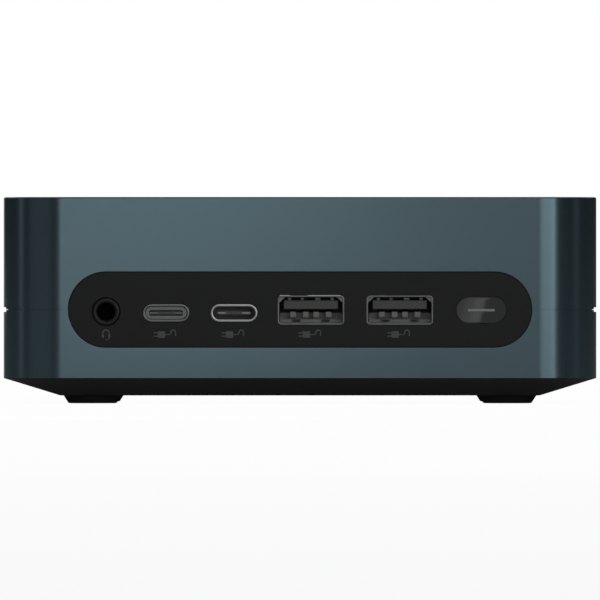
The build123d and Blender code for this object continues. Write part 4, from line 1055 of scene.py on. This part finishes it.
def bent_strip(side_view, width, x):
    """A strip of sheet about x, from its (Z, Y) outline seen from the side."""
    strip = thick(shaped([(-z, y) for z, y in side_view]), width)
    turn = Matrix.Translation((x + width / 2, 0, 0)) @ Matrix.Rotation(pi / 2, 4, "Y")
    return outwards(placed(strip, turn))


def usb_a_contacts():
    return [bent_strip(STRIP_VIEW, 1.1, x) for x in (-3.5, -1.0, 1.05, 3.5)]


def usb_a_pieces(side, places):
    piece(f"{side}_usb_a_sleeves", at_each(places, usb_a_shell), "port_steel", [f"{side}_usb_a_shells"])
    piece(f"{side}_usb_a_tongue_blocks", at_each(places, usb_a_plastic), "tongue_plastic",
          [f"{side}_usb_a_tongues"])
    # The steps take the pale grey: painted light.
    piece(f"{side}_usb_a_steps", at_each(places, usb_a_step), "tongue_plastic", look="lit_grey_painted_light")


def usb_contacts(side, c_places, a_places):
    gold = at_each(c_places, usb_c_pads) + at_each(a_places, usb_a_contacts)
    piece(f"{side}_contacts", gold, "contact_gold", [f"{side}_usb_contacts"])


front_a = [on_front(x, USB_A_Z, MOUTH_Y) for x in USB_A_X]
usb_a_pieces("front", front_a)
usb_contacts("front", front_c, front_a)

# %% [markdown]
# ## Power button
# The cap is polished, so it shows a sharp reflection that the satin panel round it doesn't. It rides on
# its own body with its light bar, because both travel when it is pressed, and a flange behind the
# panel keeps it in.

# %% Power button
LIGHT_W, LIGHT_H, LIGHT_GAP = 5.4, 0.55, 0.01
CAP_T = 2.95

cap = bar(BUTTON_W, BUTTON_H, CAP_T, BUTTON_H / 2, segments=16)
soften(cap, at_height(0), 0.10, 3)
cap_flange = bar(BUTTON_W + 1.4, BUTTON_H + 1.4, 0.7, BUTTON_H, front=-CAP_T, segments=16)
cap = carve(cap, [cap_flange, rod(1.2, -4.42, -3.5)], "UNION")
cap = carve(cap, [bar(LIGHT_W, LIGHT_H, 2.4, LIGHT_H / 2, front=1, segments=6)])
light_bar = bar(LIGHT_W - 2 * LIGHT_GAP, LIGHT_H - 2 * LIGHT_GAP, 1.36, LIGHT_H / 2, front=-0.04, rim=0.05,
                segments=6)
button_place = on_front(BUTTON.x, BUTTON.z, FACE_Y)
piece("button_cap", [cap], "button_plastic", ["power_button"], body="power_button", place=button_place)
piece("button_light_bar", [light_bar], "light_guide", ["button_light"], body="power_button",
      place=button_place)

# %% [markdown]
# ## Printed marks
# Small grey marks under the ports say what each is for. They are plain pictograms: a headset, and a
# plug with its lead. Printing ink has a thickness, so each mark is a plate of 0.02 mm on the panel
# rather than a picture in the material.

# %% Printed marks
INK, STROKE = 0.02, 0.24
HEADSET_MARK_Z, PLUG_MARK_Z = 13.7, 13.6


def stroke(x0, y0, x1, y1, width=STROKE):
    """A straight printed line with round ends."""
    length = hypot(x1 - x0, y1 - y0)
    line = bar(length + width, width, INK, width / 2, front=INK, segments=4)
    direction = Vector((x1 - x0, y1 - y0, 0)).to_track_quat("X", "Z").to_matrix().to_4x4()
    return placed(line, Matrix.Translation(((x0 + x1) / 2, (y0 + y1) / 2, 0)) @ direction)


def arc(radius, start, end, x=0.0, y=0.0, width=STROKE, steps=14):
    """A printed arc, from a short line that is spun about the middle of the arc."""
    bm = bmesh.new()
    low, high = radius - width / 2, radius + width / 2
    ends = [bm.verts.new((r * cos(start), r * sin(start), 0)) for r in (low, high)]
    bmesh.ops.spin(bm, geom=ends + [bm.edges.new(ends)], cent=(0, 0, 0), axis=(0, 0, 1), angle=end - start,
                   steps=steps)
    return moved(thick(face_up(outwards(bm)), INK, INK), x, y)


def headset_mark():
    cups = [bar(0.42, 0.78, INK, 0.2, front=INK, x=x, y=-0.35, segments=4) for x in (-0.62, 0.62)]
    microphone = [stroke(0.62, -0.8, 0.3, -1.15, 0.18), stroke(0.3, -1.15, 0.0, -1.15, 0.2)]
    return [arc(0.66, 0, pi, y=0.15), *cups, *microphone]


def plug_mark():
    """A plug seen from the side: two prongs, a body and a curved lead."""
    body = bar(1.5, 1.3, INK, 0.25, front=INK, x=-0.9, segments=4)
    prongs = [stroke(-2.35, y, -1.7, y, 0.22) for y in (-0.32, 0.32)]
    lead_run = [stroke(-0.1, 0, 0.55, 0), arc(0.45, -pi / 2, 0, 0.55, 0.45), arc(0.45, 0, pi, 1.45, 0.45),
                stroke(1.9, 0.4, 1.9, -0.2)]
    return [body, *prongs, *lead_run]


front_marks = at_each([on_front(JACK.x, HEADSET_MARK_Z, FACE_Y)], headset_mark)
front_marks += at_each([on_front(x, PLUG_MARK_Z, FACE_Y) for x in USB_C_X + USB_A_X], plug_mark)
piece("front_marks", front_marks, "panel_plastic", look="printed_ink", sharp=60)

# %% [markdown]
# ## Rear panel
# The rear carries the rest of the ports, and upright louvres over the cooler's fins. Many slots in one
# plate are quickest as a single joined cutter. Their rims are bevelled afterwards, which is what tells
# moulded louvres from holes drawn on a plate. It is drawn as seen from behind, so X runs the other way.

# %% Rear panel
HDMI, ETHERNET, DC = centre_mm("hdmi_shell"), centre_mm("ethernet_shield"), centre_mm("dc_pin")
REAR_C_X, REAR_C_Z = -21.2, 17.65
REAR_A_X, REAR_A_Z = (-7.9, 7.5), 18.4
VENT_FIRST, VENT_STEP, VENT_COUNT, VENT_Z = -40.6, 2.4, 23, 29.3
VENTS = [VENT_FIRST + VENT_STEP * i for i in range(VENT_COUNT)]


def d_outline(grow=0.0):
    """The outline of the video socket: wide, with two cut lower corners."""
    w, h = 7.5 + grow, 2.775 + grow
    bm = shaped([(-w, h), (-w, -h + 2.2), (-w + 1.9, -h), (w - 1.9, -h), (w, -h + 2.2), (w, h)])
    return bevel(bm, bm.verts[:], "VERTICES", 0.5, 4)


def rear_panel():
    cutters = [moved(thick(d_outline(0.1), THROUGH, 1), -HDMI.x, HDMI.z - REAR_Z)]
    cutters += usb_openings([(-REAR_C_X, REAR_C_Z - REAR_Z)], [(-x, REAR_A_Z - REAR_Z) for x in REAR_A_X])
    cutters.append(bar(16.1, 13.5, THROUGH, 0.3, 1, x=-ETHERNET.x, y=ETHERNET.z - REAR_Z, segments=3))
    cutters.append(rod(3.8, -5, 1, -DC.x, DC.z - REAR_Z, 64))
    cutters += [bar(1.5, 9.8, THROUGH, 0.75, 1, x=-x, y=VENT_Z - REAR_Z, segments=6) for x in VENTS]
    plate = carve(panel_plate(REAR_W, REAR_H, REAR_R, 12, 0.12), [together(cutters)])
    return soften(plate, on_face(43.5, 11.6), 0.08, 1)


piece("rear_bezel", [rear_panel()], "panel_plastic", ["rear_port_panel"],
      place=on_rear(0, REAR_Z, REAR_FACE_Y))

# %% [markdown]
# ## Rear USB sockets
# They are the same parts as in front, drawn by the same functions: one USB-C socket and two USB-A.

# %% Rear USB sockets and their contacts
rear_c = [on_rear(REAR_C_X, REAR_C_Z, REAR_MOUTH_Y)]
rear_a = [on_rear(x, REAR_A_Z, REAR_MOUTH_Y) for x in REAR_A_X]
piece("rear_usb_c_sleeve", at_each(rear_c, usb_c_shell), "port_steel", ["rear_usb_c_shell"])
piece("rear_usb_c_inner_plastic", at_each(rear_c, usb_c_tongue), "tongue_plastic", ["rear_usb_c_tongue"])
piece("rear_usb_c_mid_plate", at_each(rear_c, usb_c_mid_plate), "port_steel", look="bright_plate")
usb_a_pieces("rear", rear_a)
usb_contacts("rear", rear_c, rear_a)

# %% [markdown]
# ## Video socket
# It is a cup on a wide D outline. A flat tongue stands in the middle, with a row of narrow contacts on
# each face.

# %% Video socket
video_place = on_rear(HDMI.x, HDMI.z, REAR_MOUTH_Y)
video_tongue = [thick(d_outline(-0.48), 2.8, front=-8.4), block(-5.8, 5.8, -0.5, 0.6, -8.6, -1.2, 0.1)]
video_pads = [block(0.6 * i - 0.18, 0.6 * i + 0.18, y, y + 0.05, -7.5, -1.9)
              for i in range(-9, 10) for y in (0.6, -0.55)]
piece("video_sleeve", [cup(d_outline(), 11.5, 0.45, 0.08)], "port_steel", ["hdmi_shell"], place=video_place)
piece("video_tongue", video_tongue, "tongue_plastic", ["hdmi_tongue"], place=video_place)
piece("video_contacts", video_pads, "contact_gold", place=video_place)

# %% [markdown]
# ## Network socket
# A square steel can stands round a plastic block with a stepped hole: wide for the plug, narrower for
# its latch. Eight sloping wires run through the hole, and two lamps sit above.

# %% Network socket
WIRE_VIEW = [(-11.9, -5.2), (-2.5, -5.2), (-2.5, -4.9), (-3.0, -4.9), (-9.6, -3.3), (-9.8, -3.6),
             (-4.4, -4.9), (-11.9, -4.9)]
WIRE_W, WIRE_STEP = 0.4, 1.02
LAMP_X, LAMP_Y = 5.4, 4.9


def pair_of_lamps(width, height, **rest):
    return [bar(width, height, x=x, y=LAMP_Y, **rest) for x in (-LAMP_X, LAMP_X)]


network_place = on_rear(ETHERNET.x, ETHERNET.z, REAR_MOUTH_Y)
hole = [bar(w, h, 13, r, 1, y=y, segments=2)
        for w, h, r, y in ((11.8, 7.4, 0.2, -1.6), (6.2, 2.1, 0.15, 2.95), (3.2, 1.6, 0.15, 4.3))]
seats = together(pair_of_lamps(3.2, 1.8, depth=15, front=1))
insert = carve(bar(15.36, 12.76, 15.4, 0.1, front=-0.2, segments=2), [*hole, seats])
soften(insert, lambda p: abs(p.z + 0.2) < NEAR and abs(p.x) < 7.3 and abs(p.y) < 6.0, 0.1, 1)
wires = [bent_strip(WIRE_VIEW, WIRE_W, WIRE_STEP * (i - 3.5)) for i in range(8)]
lamps = pair_of_lamps(3.1, 1.7, depth=13.8, radius=0.1, front=-0.15, rim=0.08, segments=2)
piece("network_can", [cup(flat(16, 13.4, 0.3, 3), 16, 0.3, 0.08)], "port_steel", ["ethernet_shield"],
      place=network_place)
piece("network_block", [insert], "socket_plastic", ["ethernet_insert"], place=network_place)
piece("network_wires", wires, "contact_gold", ["ethernet_contacts"], place=network_place)
piece("network_lamps", lamps, "lamp_clear", ["ethernet_lamps"], place=network_place)

# %% [markdown]
# ## Power inlet
# It is a round nose with a steel pin in the middle of its bore. Nose and pin are spun, and the body
# behind them is a block.

# %% Power inlet
NOSE = [(3.1, -0.2), (3.25, 0.0), (3.55, 0.0), (3.7, -0.15), (3.7, -5.9), (2.0, -5.9), (2.0, -9.4),
        (3.1, -9.4)]
PIN = [(0, -9.5), (1.25, -9.5), (1.25, -1.25), (1.1, -1.05), (0.9, -1.0), (0, -1.0)]

inlet_place = on_rear(DC.x, DC.z, REAR_MOUTH_Y)
inlet_body = carve(block(-4.3, 4.3, -4.3, 4.3, -14.0, -2.9, 0.2), [rod(3.69, -9.45, 0, steps=48)])
piece("power_inlet", [turned(NOSE, 64), inlet_body], "jack_plastic", ["dc_jack"], place=inlet_place)
piece("inlet_pin", [turned(PIN, 40)], "pin_steel", ["dc_pin"], place=inlet_place)

# %% [markdown]
# ## Marks on the rear
# Generic pictograms again: a screen, plugs, three linked boxes and a barrel plug with its lead.

# %% Rear marks
REAR_MARK_Z = 13.4
FRAME_LINE, LINK_LINE = 0.2, 0.16


def frame_mark(width, height, x=0.0, y=0.0):
    """A hollow rectangle of four strokes."""
    w, h = width / 2, height / 2
    ends = [(x - w, y - h), (x + w, y - h), (x + w, y + h), (x - w, y + h)]
    return [stroke(*a, *b, FRAME_LINE) for a, b in zip(ends, ends[1:] + ends[:1])]


def screen_mark():
    return frame_mark(2.6, 1.5) + [stroke(-0.6, -1.15, 0.6, -1.15, FRAME_LINE)]


def network_mark():
    boxes = [line for x, y in ((0, 0.6), (-0.9, -0.7), (0.9, -0.7)) for line in frame_mark(0.8, 0.6, x, y)]
    links = ((0, 0.2, 0, -0.05), (-0.9, -0.05, 0.9, -0.05), (-0.9, -0.1, -0.9, -0.3), (0.9, -0.1, 0.9, -0.3))
    return boxes + [stroke(*ends, LINK_LINE) for ends in links]


def power_mark():
    return [arc(0.75, -2.2, 2.2, -0.6, steps=18), stroke(-0.6, 0, 1.7, 0),
            arc(0.22, 0, 2 * pi, -0.6, width=0.3)]


rear_marks = []
for x, mark in ((HDMI.x, screen_mark), (ETHERNET.x, network_mark), (DC.x, power_mark), (REAR_C_X, plug_mark),
                (REAR_A_X[0], plug_mark), (REAR_A_X[1], plug_mark)):
    rear_marks += at_each([on_rear(x, REAR_MARK_Z, REAR_FACE_Y)], mark)
piece("rear_marks", rear_marks, "panel_plastic", look="printed_ink", sharp=60)

# %% [markdown]
# ## Finishes of the carried-over pieces
# What stands inside keeps its engineering mesh. Each material slot of the record gets its own finish
# on the common plan, and every mesh of that slot takes it.

# %% Finish every piece that comes from the frame
for entry in frame["record"]["subparts"]:
    node = frame["nodes"][entry["node"]]
    node.data.materials.clear()
    node.data.materials.append(finishes[entry["material_slot"]])
